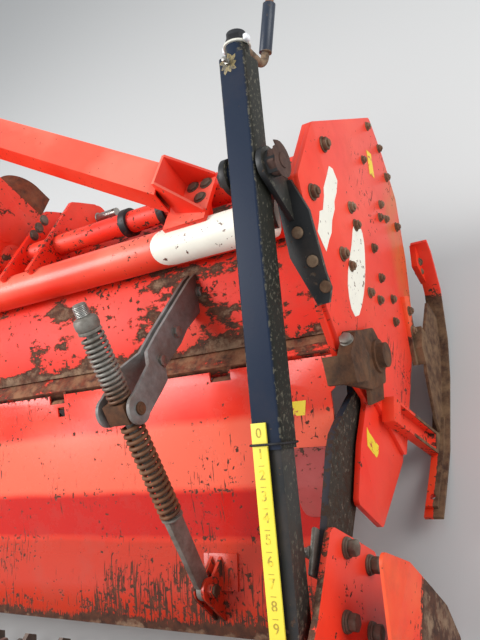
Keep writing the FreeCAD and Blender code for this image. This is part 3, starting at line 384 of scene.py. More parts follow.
plate_red = worn_paint("plate_red", patches=0.18, chips=0.25, scratches=0.18, lines=(3, 2, 30),
                       zones=((1, 0.70, 0.86, 0.060),), soil_rub_and_sheen=lower_front,
                       soil_rub_and_sheen_tone=(0.62, 0.17, 0.030), dirt=0.22, rough=0.40, seed=2.0)
dress(plate_red, "side_plate_right", "side_plate_left", "gear_case_cover", "gear_case",
      "rotor_bearing_left")


# Nuts and studs hold the gear case's cover, and rust. Each is a hexagon nut with broken
# edges on a round washer, and the stud stands out of it.
def rusty(name, light=RUST, dark=DARK_RUST, pale=(0.24, 0.16, 0.11), pale_share=0.3, rough=0.8,
          metallic=0.0, seed=0.0, grade=None):
    """Bare steel. Grade is (start, direction, from, to, tone) and turns it to another tone."""
    made, shader, place, _ = finish_of(name, metallic)
    mottle = ramp(noise_on(place, 30.0, 8.0, 0.7, start=(seed, 0, 0)), 0.34, 0.66)
    top = ramp(noise_on(place, 12.0, 6.0, 0.65, start=(0, seed, 0)), 0.48, 0.72, 0.0, pale_share)
    colour = blend_of(top, blend_of(mottle, dark, light), pale)
    if grade:
        start, direction, low, high, tone = grade
        share = ramp(reach_along(place, start, direction), low, high)
        colour = blend_of(share, colour, tone)
    dull = ramp(noise_on(place, 25.0, 5.0), 0.3, 0.7, rough - 0.15, min(rough + 0.1, 1.0))
    feed(shader, {"Base Color": colour, "Roughness": dull, "Specular IOR Level": 0.28})
    emboss(shader, noise_on(place, 110.0, 6.0, 0.75), 0.6, 0.0014)
    return made


def edges_only():
    """Edit the active piece's edges, with none of them selected."""
    bpy.ops.object.mode_set(mode="EDIT")
    bpy.ops.mesh.select_mode(type="EDGE")
    bpy.ops.mesh.select_all(action="DESELECT")


def edges_done():
    bpy.ops.mesh.select_mode(type="VERT")
    bpy.ops.object.mode_set(mode="OBJECT")


def round_bar(radius, low, high, sides=16, bevel=0.0):
    """A round bar along Z with its ends' edges broken, or a hexagon bar with all of them."""
    bpy.ops.object.select_all(action="DESELECT")
    bpy.ops.mesh.primitive_cylinder_add(vertices=sides, radius=radius, depth=high - low,
                                        location=(0, 0, (low + high) / 2))
    bar = bpy.context.object
    if bevel:
        edges_only()
        bpy.ops.object.mode_set(mode="OBJECT")
        for edge in bar.data.edges:
            first, second = (bar.data.vertices[i].co.z for i in edge.vertices)
            edge.select = sides == 6 or abs(first - second) < 0.00001
        bpy.ops.object.mode_set(mode="EDIT")
        bpy.ops.mesh.bevel(offset=bevel, segments=2, affect="EDGES")
        edges_done()
    return bar


def joined(pieces):
    bpy.ops.object.select_all(action="DESELECT")
    for piece in pieces:
        piece.select_set(True)
        piece.data.transform(piece.matrix_world)
        piece.matrix_world = Matrix.Identity(4)
    bpy.context.view_layer.objects.active = pieces[0]
    if len(pieces) > 1:
        bpy.ops.object.join()
    whole = smooth(bpy.context.object)
    bpy.ops.object.select_all(action="DESELECT")
    return whole


def turned_to(direction, side="Y"):
    """The rotation that stands a piece's Z along a direction."""
    return Vector(direction).to_track_quat("Z", side).to_matrix().to_4x4()


def fasten(model, name, places, material, body="frame"):
    """Copies of one fastener at (place, outward direction, turn in degrees, size)."""
    copies = []
    for place, out, turn, size in places:
        copy = model.copy()
        copy.data = model.data.copy()
        bpy.context.collection.objects.link(copy)
        copy.data.transform(Matrix.Translation(place) @ turned_to(out, "X")
                            @ Matrix.Rotation(math.radians(turn), 4, "Z") @ Matrix.Scale(size, 4))
        copies.append(copy)
    return settle(joined(copies), name, material, body)


def both_sides(places):
    """The same places on the machine's left side as well."""
    return places + [(Vector((-place.x, place.y, place.z)), (-out[0], out[1], out[2]), turn, size)
                     for place, out, turn, size in places]


TO_RIGHT, TO_LEFT, UPWARDS = (1, 0, 0), (-1, 0, 0), (0, 0, 1)
SIDES = (("right", 1), ("left", -1))
# x of the cover's outer face, of the side plates' and of the left bearing cap's
COVER_X, PLATE_X, CAP_X = 1260, 1250, 1272
nut_rust = rusty("nut_rust", (0.21, 0.115, 0.062), (0.080, 0.042, 0.026), (0.38, 0.29, 0.19),
                 0.7, 0.75)
nut_model = joined([round_bar(0.0135, 0, 0.0022, 20, 0.0005),
                    round_bar(0.0112, 0.0022, 0.0090, 6, 0.0010),
                    round_bar(0.0060, 0.0090, 0.0125, 12, 0.0008)])
head_model = joined([round_bar(0.0150, 0, 0.0025, 20, 0.0006),
                     round_bar(0.0139, 0.0025, 0.011, 6, 0.0012)])
# y, z and size of each nut on the cover
cover_nuts = [(34, 777, 1.35), (196, 582, 0.85), (330, 581, 0.9), (334, 498, 0.9), (286, 433, 1.0),
              (-127, 788, 1.35), (-7, 617, 1.1), (-32, 582, 1.1), (158, 456, 0.9), (115, 452, 0.9),
              (145, 413, 0.85), (-11, 474, 0.95), (-159, 627, 1.25), (-156, 581, 1.0),
              (-61, 417, 0.95), (-148, 471, 1.0), (-127, 413, 0.95), (184, 338, 1.0),
              (-65, 333, 0.95), (-119, 308, 0.95)]
cover_places = [(at(COVER_X, y, z), TO_RIGHT, 37.0 * i, size)
                for i, (y, z, size) in enumerate(cover_nuts)]
fasten(nut_model, "cover_nuts", cover_places, nut_rust)
# the left plate has the same four bolts at its top and edge, and six round its bearing cap
left_bolts = [(34, 777, 1.35), (-127, 788, 1.35), (196, 582, 0.9), (286, 433, 1.0)]
left_places = [(at(-PLATE_X, y, z), TO_LEFT, 31.0 * i, size)
               for i, (y, z, size) in enumerate(left_bolts)]
cap_bolts, cap_circle, rotor_z = 6, 72, 285
for i in range(cap_bolts):
    turn = math.radians(360 / cap_bolts * i + 30)
    place = at(-CAP_X, cap_circle * math.cos(turn), rotor_z + cap_circle * math.sin(turn))
    left_places.append((place, TO_LEFT, 60.0 * i, 1.05))
fasten(head_model, "left_plate_bolts", left_places, nut_rust)


# Thin films on the cover and the board are all blank: a torn white strip, a white oval and
# yellow labels, each with its own worn outline.
def label(name, material, corners, out, thick=0.0005):
    """A film cut to that outline, lying on its face and standing out by its thickness."""
    bpy.ops.object.select_all(action="DESELECT")
    bpy.ops.mesh.primitive_circle_add(vertices=len(corners), radius=1.0, fill_type="NGON")
    cut = bpy.context.object
    for corner, place in zip(cut.data.vertices, corners):
        corner.co = place
    cut.data.update()
    if cut.data.polygons[0].normal.dot(Vector(out)) < 0:
        bpy.ops.object.mode_set(mode="EDIT")
        bpy.ops.mesh.select_all(action="SELECT")
        bpy.ops.mesh.flip_normals()
        bpy.ops.object.mode_set(mode="OBJECT")
    gap = 0.0002
    cut.data.transform(Matrix.Translation(Vector(out) * (thick + gap)))
    thicken(cut, thick)
    return settle(cut, name, material)


def side_label(name, material, x, outline):
    """A film on a face that looks right, with its outline's y and z."""
    label(name, material, [at(x, y, z) for y, z in outline], TO_RIGHT)


yellow_film = film("yellow_film", (0.90, 0.66, 0.02), (0.55, 0.05, 0.03), 0.9)
side_label("white_strip", white_film, COVER_X,
           [(4, 740), (14, 722), (4, 694), (-30, 690), (-62, 694), (-80, 688), (-118, 692),
            (-150, 687), (-176, 693), (-211, 697), (-205, 718), (-196, 743), (-168, 744),
            (-143, 748), (-128, 736), (-90, 740), (-72, 747), (-30, 742)])
side_label("white_oval", white_film, COVER_X,
           [(-24, 589), (-12, 566), (-20, 543), (-40, 528), (-67, 518), (-104, 508), (-140, 503),
            (-175, 503), (-212, 507), (-245, 516), (-262, 534), (-257, 556), (-238, 573),
            (-213, 586), (-180, 592), (-140, 592), (-100, 590), (-58, 593)])
side_label("yellow_label_front", yellow_film, COVER_X,
           [(249, 569), (264, 541), (209, 505), (193, 535)])
side_label("yellow_label_wing", yellow_film, PLATE_X,
           [(-462, 405), (-468, 390), (-469, 376), (-472, 350), (-472, 334), (-490, 333),
            (-503, 340), (-502, 366), (-500, 393), (-482, 400)])

# Hood: sheet steel under thin paint that has come off in broad patches, most of all along
# the rear edge. The trailing board keeps more of it, and is scratched near its lower edge.
deck_red = worn_paint("deck_red", (0.74, 0.018, 0.005), (0.80, 0.042, 0.016), patches=0.88,
                      patch_size=6.0, patch_stretch=(1.0, 2.0, 1.6), chips=0.55, chip_size=60,
                      zones=((1, 0.192, 0.160, 0.20),), dirt=0.35, rough=0.48, shine=0.28, seed=5.0)
dress(deck_red, "deck")
# the bends lie at the creases; between them one band is painted pale as a highlight of the sky,
# the steepest is painted dark as shade, and the lowest have browned with soil
board_sheen_shade_and_soil = ((1, -0.0525, 0.058, 0.018, (0.93, 0.155, 0.085), 0.85),
               (1, -0.1675, 0.038, 0.012, (0.50, 0.005, 0.002), 0.9),
               (1, -0.31, 0.085, 0.02, (0.50, 0.036, 0.013), 0.85))
board_red = worn_paint("board_red", patches=0.14, chips=0.38, scratches=0.36, lines=(34, 2.4, 2.4),
                       zones=((2, 0.345, 0.265, 0.070), (2, 0.252, 0.240, 0.20)),
                       creases=(0.1105, 0.0175, -0.1225, -0.2125), tints=board_sheen_shade_and_soil,
                       dirt=0.2, rough=0.26, seed=8.0)
dress(board_red, "trailing_board", "board_lugs")
board_out = Vector((0, -0.5547, 0.8321))
board_top = at(0, -357, 541)
board_places = []
for x, y, z in ((1102, -431, 490), (1143, -431, 490), (1136, -460, 473), (1124, -489, 457),
                (1097, -487, 458), (1107, -462, 472)):
    spot = at(x, y, z)
    over_board = (spot - Vector((spot.x, board_top.y, board_top.z))).dot(board_out)
    board_places.append(spot - board_out * over_board)
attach(label("yellow_label_board", yellow_film, board_places, board_out), "board")


# A patch plate with a round lower end lies over the board's second bend near each end. It
# is thin sheet, bent with the board, and its paint has faded to mauve.
def soften(piece, width, segments=2):
    """Break the active piece's edges."""
    soft = piece.modifiers.new("soft", "BEVEL")
    soft.width = width
    soft.segments = segments
    soft.limit_method = "ANGLE"
    bpy.ops.object.modifier_apply(modifier="soft")


patch_paint = worn_paint("patch_paint", (0.33, 0.030, 0.026), (0.46, 0.085, 0.078),
                         (0.12, 0.055, 0.04), patches=0.30, chips=0.42,
                         zones=((1, -0.066, -0.052, 0.16),), dirt=0.4, rough=0.5, shine=0.25,
                         seed=61.0)
patch_x, patch_wide, patch_top, patch_long = 1139, 78, -518, 122
bend_y, bend_z = -590, 400
slope_over, slope_under = 79 / 140, 70 / 90
# share of its length before the round end begins
straight_share = 0.72
patches = []
for _, sign in SIDES:
    bpy.ops.mesh.primitive_grid_add(x_subdivisions=24, y_subdivisions=30, size=1.0)
    patch = bpy.context.object
    for corner in patch.data.vertices:
        across, down = corner.co.x, 0.5 - corner.co.y
        y = patch_top - patch_long * down
        z = bend_z + (y - bend_y) * (slope_over if y > bend_y else slope_under)
        narrow = 1.0
        if down >= straight_share:
            into_end = (down - straight_share) / (1 - straight_share)
            narrow = 0.4 + 0.6 * math.sqrt(max(0.0, 1 - into_end ** 2))
        lift = Vector((0, -0.55, 0.83)) * 0.0004
        corner.co = at(sign * patch_x + patch_wide * across * narrow, y, z) + lift
    thicken(patch, 0.003, offset=1)
    soften(patch, 0.0009)
    patches.append(patch)
settle(joined(patches), "board_patches", patch_paint, "board")

# Bare steel: the channel, the hinge rod and the forged pivots rust, the spring brackets have
# worn to grey and brown again towards the front.
rust = rusty("rust", (0.230, 0.052, 0.020), (0.070, 0.022, 0.012), (0.28, 0.13, 0.065), 0.40)
soil_rust = rusty("soil_rust", (0.135, 0.055, 0.024), (0.036, 0.019, 0.012), (0.21, 0.12, 0.06),
                  0.35, 0.8, seed=4.0)
grey_steel = rusty("grey_steel", (0.25, 0.25, 0.24), (0.145, 0.14, 0.13), (0.17, 0.085, 0.048),
                   0.55, 0.50, 0.15,
                   grade=((0, 0.19, 0.62), (0, 0.8, 0.2), 0.02, 0.13, (0.11, 0.052, 0.030)))
bright_steel = rusty("bright_steel", (0.46, 0.45, 0.42), (0.28, 0.26, 0.23), (0.5, 0.5, 0.48),
                     0.5, 0.38, 0.85)
channel_rust = worn_paint("channel_rust", bare=(0.20, 0.045, 0.018), tan=(0.26, 0.12, 0.06),
                          patches=1.50, patch_size=8.0, patch_stretch=(0.7, 1.5, 1.5), chips=0.75,
                          dirt=0.5, rough=0.6, seed=52.0)
dress(channel_rust, "deck_rear_channel")
dress(rust, "board_hinge_rod", "pto_guard")
dress(soil_rust, "arm_pivots", "spring_block_right", "spring_block_left")
dress(grey_steel, "spring_brackets")
dress(bright_steel, "lower_link_pins", "pto_shaft")


# Coil springs press the board down. Each is round wire wound on its rod: the lower one has
# rusted, the upper one is still grey and turns brown beside its pivot block.
def wound(wire, outer, turns, length, sides=7, steps=20):
    """Round wire wound about Z from the origin, its two ends closed."""
    bpy.ops.object.select_all(action="DESELECT")
    bpy.ops.mesh.primitive_circle_add(vertices=sides, radius=wire / 2,
                                      location=(outer - wire / 2, 0, wire / 2),
                                      rotation=(math.pi / 2, 0, 0))
    coil = bpy.context.object
    bpy.ops.object.transform_apply(location=True, rotation=True, scale=True)
    screw = coil.modifiers.new("turns", "SCREW")
    screw.angle = 2 * math.pi
    screw.iterations = turns
    screw.screw_offset = (length - wire) / turns
    screw.steps = steps
    screw.render_steps = steps
    bpy.ops.object.modifier_apply(modifier="turns")
    edges_only()
    bpy.ops.mesh.select_non_manifold()
    bpy.ops.mesh.edge_face_add()
    bpy.ops.mesh.select_all(action="SELECT")
    bpy.ops.mesh.normals_make_consistent(inside=False)
    edges_done()
    bpy.ops.object.shade_smooth()
    return coil


def block_of(size, place=(0, 0, 0)):
    """A rectangular block, its size in metres along X, Y and Z."""
    bpy.ops.mesh.primitive_cube_add(size=1.0, location=place)
    block = bpy.context.object
    block.scale = size
    bpy.ops.object.transform_apply(location=True, scale=True)
    return block


spring_rust = rusty("spring_rust", (0.230, 0.105, 0.050), (0.090, 0.042, 0.024),
                    (0.34, 0.25, 0.16), 0.5, 0.65, 0.15)
# the rod's middle plane, its lower eye and the middle of its pivot block
ROD_X = 867
EYE_Y, EYE_Z = -795, 338
BLOCK_Y, BLOCK_Z = -555, 730
rod_low = at(ROD_X, EYE_Y, EYE_Z)
rod_block = at(ROD_X, BLOCK_Y, BLOCK_Z)
rod_reach = (rod_block - rod_low).length
rod_up = (rod_block - rod_low).normalized()
spring_grey = rusty("spring_grey", (0.29, 0.28, 0.25), (0.13, 0.11, 0.085), (0.24, 0.125, 0.070),
                    0.35, 0.45, 0.35, grade=(tuple(rod_block), tuple(rod_up), 0.085, 0.030,
                                             (0.135, 0.068, 0.038)))
rod_steel = rusty("rod_steel", (0.27, 0.255, 0.225), (0.13, 0.11, 0.088), (0.36, 0.34, 0.30),
                  0.45, 0.55, 0.25)
block_half = 0.0225
seat_top = 0.2003
upper_end = rod_reach + 0.1755
spring_outer = 0.026
# wire, turns, finish and the ends' distances from the rod's eye, that at the block first
springs = (("lower", 0.0094, 16, spring_rust, rod_reach - block_half, seat_top),
           ("upper", 0.0076, 14, spring_grey, rod_reach + block_half, upper_end))
for side, sign in SIDES:
    low_end = Vector((sign * rod_low.x, rod_low.y, rod_low.z))
    stand = turned_to(rod_up)
    block, rod = "spring_block_" + side, "spring_rod_" + side
    for which, wire, turns, material, near, far in springs:
        first = min(near, far)
        coil = wound(wire, spring_outer, turns, max(near, far) - first)
        coil.matrix_world = Matrix.Translation(low_end + rod_up * first) @ stand
        settle(coil, "spring_%s_%s" % (which, side), material, None)
        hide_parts("rod_springs_" + side)
        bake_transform(coil)
    # the rod itself: a round bar with a wide flat welded on below, a seat and a top nut
    flat = block_of((0.014, 0.048, 0.178), (0, 0, 0.107))
    for corner in flat.data.vertices:
        if corner.co.z < 0.1:
            corner.co.y *= 0.85
    soften(flat, 0.0018)
    eye = round_bar(0.0235, -0.007, 0.007, 32, 0.0012)
    eye.matrix_world = Matrix.Rotation(math.pi / 2, 4, "Y")
    nut_low = rod_reach + 0.176
    # radius, from, to, sides and bevel of the bar, the seat, the nut's washer, the nut, the tip
    turned = ((0.0119, 0.19, rod_reach + 0.2, 20, 0.0015),
              (0.0245, 0.1955, 0.2, 28, 0.001),
              (0.0243, nut_low, nut_low + 0.007, 28, 0.0015),
              (0.0262, nut_low + 0.005, nut_low + 0.034, 12, 0.0095),
              (0.0130, rod_reach + 0.19, rod_reach + 0.237, 20, 0.0015))
    whole = joined([flat, eye] + [round_bar(*sizes) for sizes in turned])
    whole.matrix_world = Matrix.Translation(low_end) @ stand
    settle(whole, "rod_" + side, rod_steel, rod)
    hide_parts("spring_rod_" + side)
    thread = wound(0.0034, 0.0152, 7, 0.0255, 6, 16)
    thread.matrix_world = Matrix.Translation(low_end + rod_up * (rod_reach + 0.2105)) @ stand
    settle(thread, "rod_thread_" + side, bright_steel, rod)

# Bolts through the spring brackets are plated and have round washers, and the trunnion's
# pin is upset over its strap.
plated = rusty("plated", (0.34, 0.33, 0.30), (0.20, 0.18, 0.15), (0.22, 0.15, 0.10),
               0.4, 0.45, 0.7)
bracket_bolts = [(at(881, -175, 629), TO_RIGHT, 0, 1.0), (at(881, -321, 668), TO_RIGHT, 25, 0.95),
                 (at(881, -412, 687), TO_RIGHT, 50, 0.95)]
fasten(head_model, "spring_bracket_bolts", both_sides(bracket_bolts), plated)
pin_model = joined([round_bar(0.0135, 0, 0.005, 20, 0.0016),
                    round_bar(0.0085, 0.005, 0.0065, 16, 0.0008)])
trunnion_pin = [(at(907, BLOCK_Y, BLOCK_Z), TO_RIGHT, 0, 1.0)]
fasten(pin_model, "trunnion_pin_heads", both_sides(trunnion_pin), soil_rust)
eye_bolt = [(at(ROD_X + 24, EYE_Y, EYE_Z), TO_RIGHT, 12, 1.0)]
fasten(head_model, "rod_eye_bolts", both_sides(eye_bolt), soil_rust, "board")

# Jacks: square tube in navy paint, dull and flecked on its sides, with a turned neck. The
# inner tube and the bracket are black.
JACK_X, PIN_Y, PIN_Z = 1190, -166, 912
jack_top = at(JACK_X, PIN_Y, PIN_Z)
jack_along = Vector((0, -0.8731, -0.4876))
jack_over = Vector((0, -0.4876, 0.8731))
NAVY = (0.012, 0.020, 0.042)
NAVY_PALE = (0.018, 0.027, 0.047)
navy = worn_paint("navy", NAVY, NAVY_PALE, (0.10, 0.085, 0.065), patches=0.02, chips=0.12,
                  side_tone=(0.018, 0.018, 0.014), dirt=0.10, rough=0.45, shine=0.12, seed=12.0)
dress(navy, "jack_outer_right", "jack_outer_left", edge=0.001)
black = worn_paint("black", (0.012, 0.013, 0.014), (0.022, 0.022, 0.022), (0.11, 0.085, 0.06),
                   patches=0.22, chips=0.45, side_tone=(0.026, 0.025, 0.021), dirt=0.3, rough=0.45,
                   seed=15.0)
dress(black, "jack_inner_right", "jack_inner_left", "jack_brackets")

# The crank is bare steel gone brown, copper-coloured below its bend, with a painted sleeve
# for the hand, a black hub and a pale ring. Places on it are distances along the jack.
crank_steel, shader, place, _ = finish_of("crank_steel")
jack_start = (0, jack_top.y, jack_top.z)
along_jack = reach_along(place, jack_start, tuple(jack_along))
over_jack = reach_along(place, jack_start, tuple(jack_over))
brown = blend_of(ramp(noise_on(place, 55.0, 7.0, 0.75), 0.36, 0.62),
                 (0.055, 0.036, 0.022), (0.26, 0.17, 0.10))
copper = blend_of(ramp(noise_on(place, 40.0, 7.0, 0.75), 0.40, 0.66),
                  (0.34, 0.17, 0.10), (0.15, 0.075, 0.045))
tone = blend_of(ramp(along_jack, -0.419, -0.416), copper, brown)
on_sleeve = times(near_to(along_jack, -0.363, 0.053, 0.003),
                  ramp(noise_on(place, 70.0, 5.0, 0.7), 0.30, 0.36))
tone = blend_of(on_sleeve, tone, NAVY_PALE)
on_hub = times(ramp(along_jack, -0.2935, -0.2925), ramp(over_jack, -0.0225, -0.0215))
tone = blend_of(on_hub, tone, (0.016, 0.017, 0.020))
on_ring = near_to(along_jack, -0.264, 0.0025, 0.0005)
tone = blend_of(on_ring, tone, (0.72, 0.69, 0.60))
feed(shader, {"Base Color": tone, "Roughness": ramp(on_sleeve, 0.0, 1.0, 0.75, 0.4)})
emboss(shader, noise_on(place, 130.0, 5.0, 0.7), 0.5, 0.001)
dress(crank_steel, "jack_crank_right", "jack_crank_left", edge=0.0006)


# Small parts on each jack: a hexagon nut and white clips at the neck, a grease nipple in a
# ring of old grease, and the spring wire that ties the scale to the tube.
def on_jack(s, over, x):
    """A place on the jack: distance along it, height over its middle line, and x, in mm."""
    middle = Vector((x / 1000, jack_top.y, jack_top.z))
    return middle + jack_along * (s / 1000) + jack_over * (over / 1000)


black_steel = rusty("black_steel", (0.020, 0.020, 0.022), (0.012, 0.012, 0.013),
                    (0.06, 0.05, 0.04), 0.3, 0.5)
clip_white = film("clip_white", (0.86, 0.87, 0.88), (0.5, 0.5, 0.48), 0.2, 0.4)
old_grease = film("old_grease", (0.26, 0.20, 0.085), (0.10, 0.08, 0.045), 1.2, 0.35)
nut_ring = joined([round_bar(0.0235, 0, 0.017, 6, 0.0016)])
nipple = joined([round_bar(0.0065, 0, 0.007, 6, 0.0008),
                 round_bar(0.0040, 0.007, 0.012, 14, 0.0010),
                 round_bar(0.0052, 0.012, 0.019, 16, 0.0022)])
up_jack = tuple(-jack_along)
nipple_x = JACK_X - 6
# height of the tube's face over the jack's middle line, and places along the jack
tube_face = 30
clip_s, nut_s, nipple_s, grease_s, scale_top = -268, -267, -218, -216, 518
wire_r = 0.034
for side, sign in SIDES:
    outer, crank = "jack_outer_" + side, "jack_crank_" + side
    fasten(nut_ring, "neck_nut_" + side, [(on_jack(nut_s, 0, sign * JACK_X), up_jack, 14, 1.0)],
           black_steel, crank)
    nipple_place = on_jack(nipple_s, tube_face, sign * nipple_x)
    fasten(nipple, "grease_nipple_" + side, [(nipple_place, tuple(jack_over), 0, 1.0)],
           bright_steel, outer)
    # smear of grease round the nipple, thicker in its middle
    bpy.ops.mesh.primitive_circle_add(vertices=28, radius=0.017, fill_type="TRIFAN")
    smear = bpy.context.object
    for i, corner in enumerate(smear.data.vertices):
        wobble = 1 + 0.22 * math.sin(2.1 * i) + 0.12 * math.sin(5.3 * i + 1)
        height = 0.0014 if corner.co.length < 0.001 else 0.0003
        corner.co = Vector((corner.co.x * wobble, corner.co.y * wobble * 1.1, height))
    thicken(smear, 0.0002)
    smooth(smear)
    smear_place = on_jack(grease_s, tube_face, sign * nipple_x)
    smear.matrix_world = Matrix.Translation(smear_place) @ turned_to(jack_over)
    settle(smear, "grease_smear_" + side, old_grease, outer)
    # spring clips left and right of the neck's ring
    clips = []
    for x, over in ((-29, -4), (29, 10)):
        clip = block_of((0.010, 0.017, 0.013))
        soften(clip, 0.0035, 3)
        clip_place = on_jack(clip_s, over, sign * JACK_X + x)
        clip.matrix_world = Matrix.Translation(clip_place) @ turned_to(up_jack)
        clips.append(clip)
    settle(joined(clips), "neck_clips_" + side, clip_white, crank)
    # wire round the tube and, over it, round the scale
    bpy.ops.mesh.primitive_torus_add(major_segments=72, minor_segments=8, major_radius=wire_r,
                                     minor_radius=0.0022)
    loop = bpy.context.object
    for corner in loop.data.vertices:
        out = Vector((corner.co.x, corner.co.y))
        turn = math.atan2(out.y, out.x)
        square = (abs(math.cos(turn)) ** 7 + abs(math.sin(turn)) ** 7) ** (-1 / 7)
        half_high = 0.0385 if math.sin(turn) > 0 else 0.0325
        path = Vector((math.cos(turn) * 0.0335 * square, math.sin(turn) * half_high * square))
        path += out.normalized() * (out.length - wire_r)
        corner.co = Vector((path.x, path.y, corner.co.z))
    bpy.ops.object.shade_smooth()
    across = Vector(TO_RIGHT)
    stand = Matrix((across, jack_over, across.cross(jack_over))).transposed().to_4x4()
    loop.matrix_world = Matrix.Translation(on_jack(scale_top, 0, sign * JACK_X)) @ stand
    settle(loop, "scale_wire_" + side, black_steel, outer)

# A brown hexagon nut holds each jack's bracket pin. The rubber washer under it has torn, and
# its ragged edge stands out all round.
washer_brown = rusty("washer_brown", (0.105, 0.058, 0.045), (0.060, 0.034, 0.028),
                     (0.16, 0.10, 0.075), 0.5, 0.9)
pivot_nut = joined([round_bar(0.0277, 0, 0.016, 6, 0.0022),
                    round_bar(0.0150, 0.016, 0.024, 20, 0.0016)])
pivot_place = [(at(1243, PIN_Y, PIN_Z), TO_RIGHT, 11, 1.0)]
fasten(pivot_nut, "jack_pivot_nuts", both_sides(pivot_place), washer_brown)
# y and z from the pin's axis, in mm
torn_edge = [(0, 36), (10, 31), (13.5, 40), (24, 30), (31, 20), (34, 6), (33, -8), (28, -20),
             (18, -29), (4, -34), (-12, -32), (-24, -24), (-32, -10), (-33, 6), (-26, 20),
             (-14, 24), (-8, 34)]
for side, sign in SIDES:
    corners = [at(sign * 1262, PIN_Y + y, PIN_Z + z) for y, z in torn_edge]
    label("torn_washer_" + side, washer_brown, corners, (sign, 0, 0), thick=0.002)

# Three domed bolts hold the jack bracket's sloping web. They are turned steel gone rusty, in a
# row down its face.
web_out, web_down = Vector((0, -0.675, 0.738)), Vector((0, -0.738, -0.675))
web_thick = 0.010
web_top = at(0, -137, 850) + web_out * web_thick
dome_model = joined([round_bar(0.0125, 0, 0.0075, 24, 0.0045)])
# x and distance down the web's face of each, in metres
web_bolts = [(Vector((x, 0, 0)) + web_top + web_down * s, tuple(web_out), 20.0 * i, 1.0)
             for i, (x, s) in enumerate(((1.240, 0.113), (1.259, 0.174), (1.275, 0.228)))]
fasten(dome_model, "jack_bracket_bolts", both_sides(web_bolts), nut_rust)

# Depth scale: a yellow bar that moves with the right jack's inner tube. Ticks and plain
# numbers are printed on it, and have rubbed faint.
yellow = worn_paint("yellow", (0.86, 0.70, 0.045), (0.87, 0.72, 0.09), patches=0.0, chips=0.12,
                    dirt=0.14, rough=0.42)
dress(yellow, "depth_scale", edge=0.0006)
faint_ink = film("faint_ink", (0.42, 0.30, 0.03), (0.80, 0.62, 0.03), 1.3, 0.6)
scale_stand = Matrix((Vector(TO_RIGHT), -jack_along, jack_over)).transposed().to_4x4()
scale_x, scale_face, mark_step, digit_over = 1179, 36.25, 36, 20
ink_thick, digit_high = 0.0004, 0.025
marks = []
for i in range(10):
    s = scale_top + mark_step * i
    tick = block_of((0.011, 0.0011, ink_thick))
    tick.matrix_world = Matrix.Translation(on_jack(s, scale_face, scale_x)) @ scale_stand
    marks.append(tick)
    bpy.ops.object.text_add()
    digit = bpy.context.object
    digit.data.body = str(i)
    digit.data.size = digit_high
    digit.data.extrude = ink_thick / 2
    digit.data.align_x = "CENTER"
    digit.data.align_y = "CENTER"
    digit.data.resolution_u = 3
    bpy.ops.object.convert(target="MESH")
    digit = bpy.context.object
    digit_place = on_jack(s - digit_over, scale_face, scale_x)
    digit.matrix_world = Matrix.Translation(digit_place) @ scale_stand
    marks.append(digit)
    bpy.ops.object.select_all(action="DESELECT")
settle(joined(marks), "scale_marks", faint_ink, "jack_inner_right")

# Roller arms: deep bars painted navy, caked with dried soil on their outer faces and brown
# towards the rear, where the roller's brackets are bolted on.
mud_arm = worn_paint("mud_arm", (0.012, 0.017, 0.028), (0.018, 0.021, 0.030),
                     (0.048, 0.034, 0.024), (0.10, 0.075, 0.05), patches=0.42, patch_size=9.0,
                     chips=0.55, chip_size=90, side_tone=(0.024, 0.021, 0.017),
                     side_fleck=(0.14, 0.11, 0.08), zones=((1, 0.06, -0.16, 0.14),), dirt=0.4,
                     rough=0.65, shine=0.2, seed=17.0)
dress(mud_arm, "roller_arms")
mud = rusty("mud", (0.125, 0.085, 0.048), (0.070, 0.045, 0.028), (0.22, 0.15, 0.09), 0.5, 0.9,
            seed=9.0)
# x, y, z, half sizes and turn of each clod
clods = ((1224, -836, 452, (0.014, 0.044, 0.028), 0.4),
         (1224, -878, 428, (0.013, 0.030, 0.024), 1.1),
         (1223, -798, 466, (0.012, 0.026, 0.018), 2.0))
inner_flats = []
lumps = []
for _, sign in SIDES:
    # a short flat is bolted on the arm's inner side
    flat = block_of((0.010, 0.086, 0.040))
    soften(flat, 0.004)
    tilt = Matrix.Rotation(math.radians(5), 4, "X")
    flat.matrix_world = Matrix.Translation(at(sign * 1211, -758, 493)) @ tilt
    inner_flats.append(flat)
    # and clods of soil have dried on the arm's upper edge beside the bracket
    for x, y, z, half, turn in clods:
        bpy.ops.mesh.primitive_ico_sphere_add(subdivisions=4, radius=1.0)
        clod = bpy.context.object
        for corner in clod.data.vertices:
            p = corner.co
            swell = 1 + 0.16 * math.sin(3.1 * p.x + turn) * math.cos(2.7 * p.y)
            swell += 0.09 * math.sin(7.3 * p.z + 2 * turn) + 0.05 * math.sin(13.0 * p.y + 5.0 * p.x)
            corner.co = Vector((p.x * half[0], p.y * half[1], p.z * half[2])) * swell
        lean = Matrix.Rotation(turn * 0.3, 4, "X")
        clod.matrix_world = Matrix.Translation(at(sign * x, y, z)) @ lean
        lumps.append(clod)
settle(joined(inner_flats), "arm_inner_flats", plated, "roller_frame")
settle(joined(lumps), "dried_clods", mud, "roller_frame")


# The roller's brackets are thick plate, bare along its cut edges, and held by large bolts.
# Another bolt holds the flat on the arm's inner side.
def edge_worn(parts, facing):
    """Bare along the cut edges, which look neither left nor right."""
    return ramp(calc("ABSOLUTE", facing[0]), 0.75, 0.45, 0.0, 0.19)


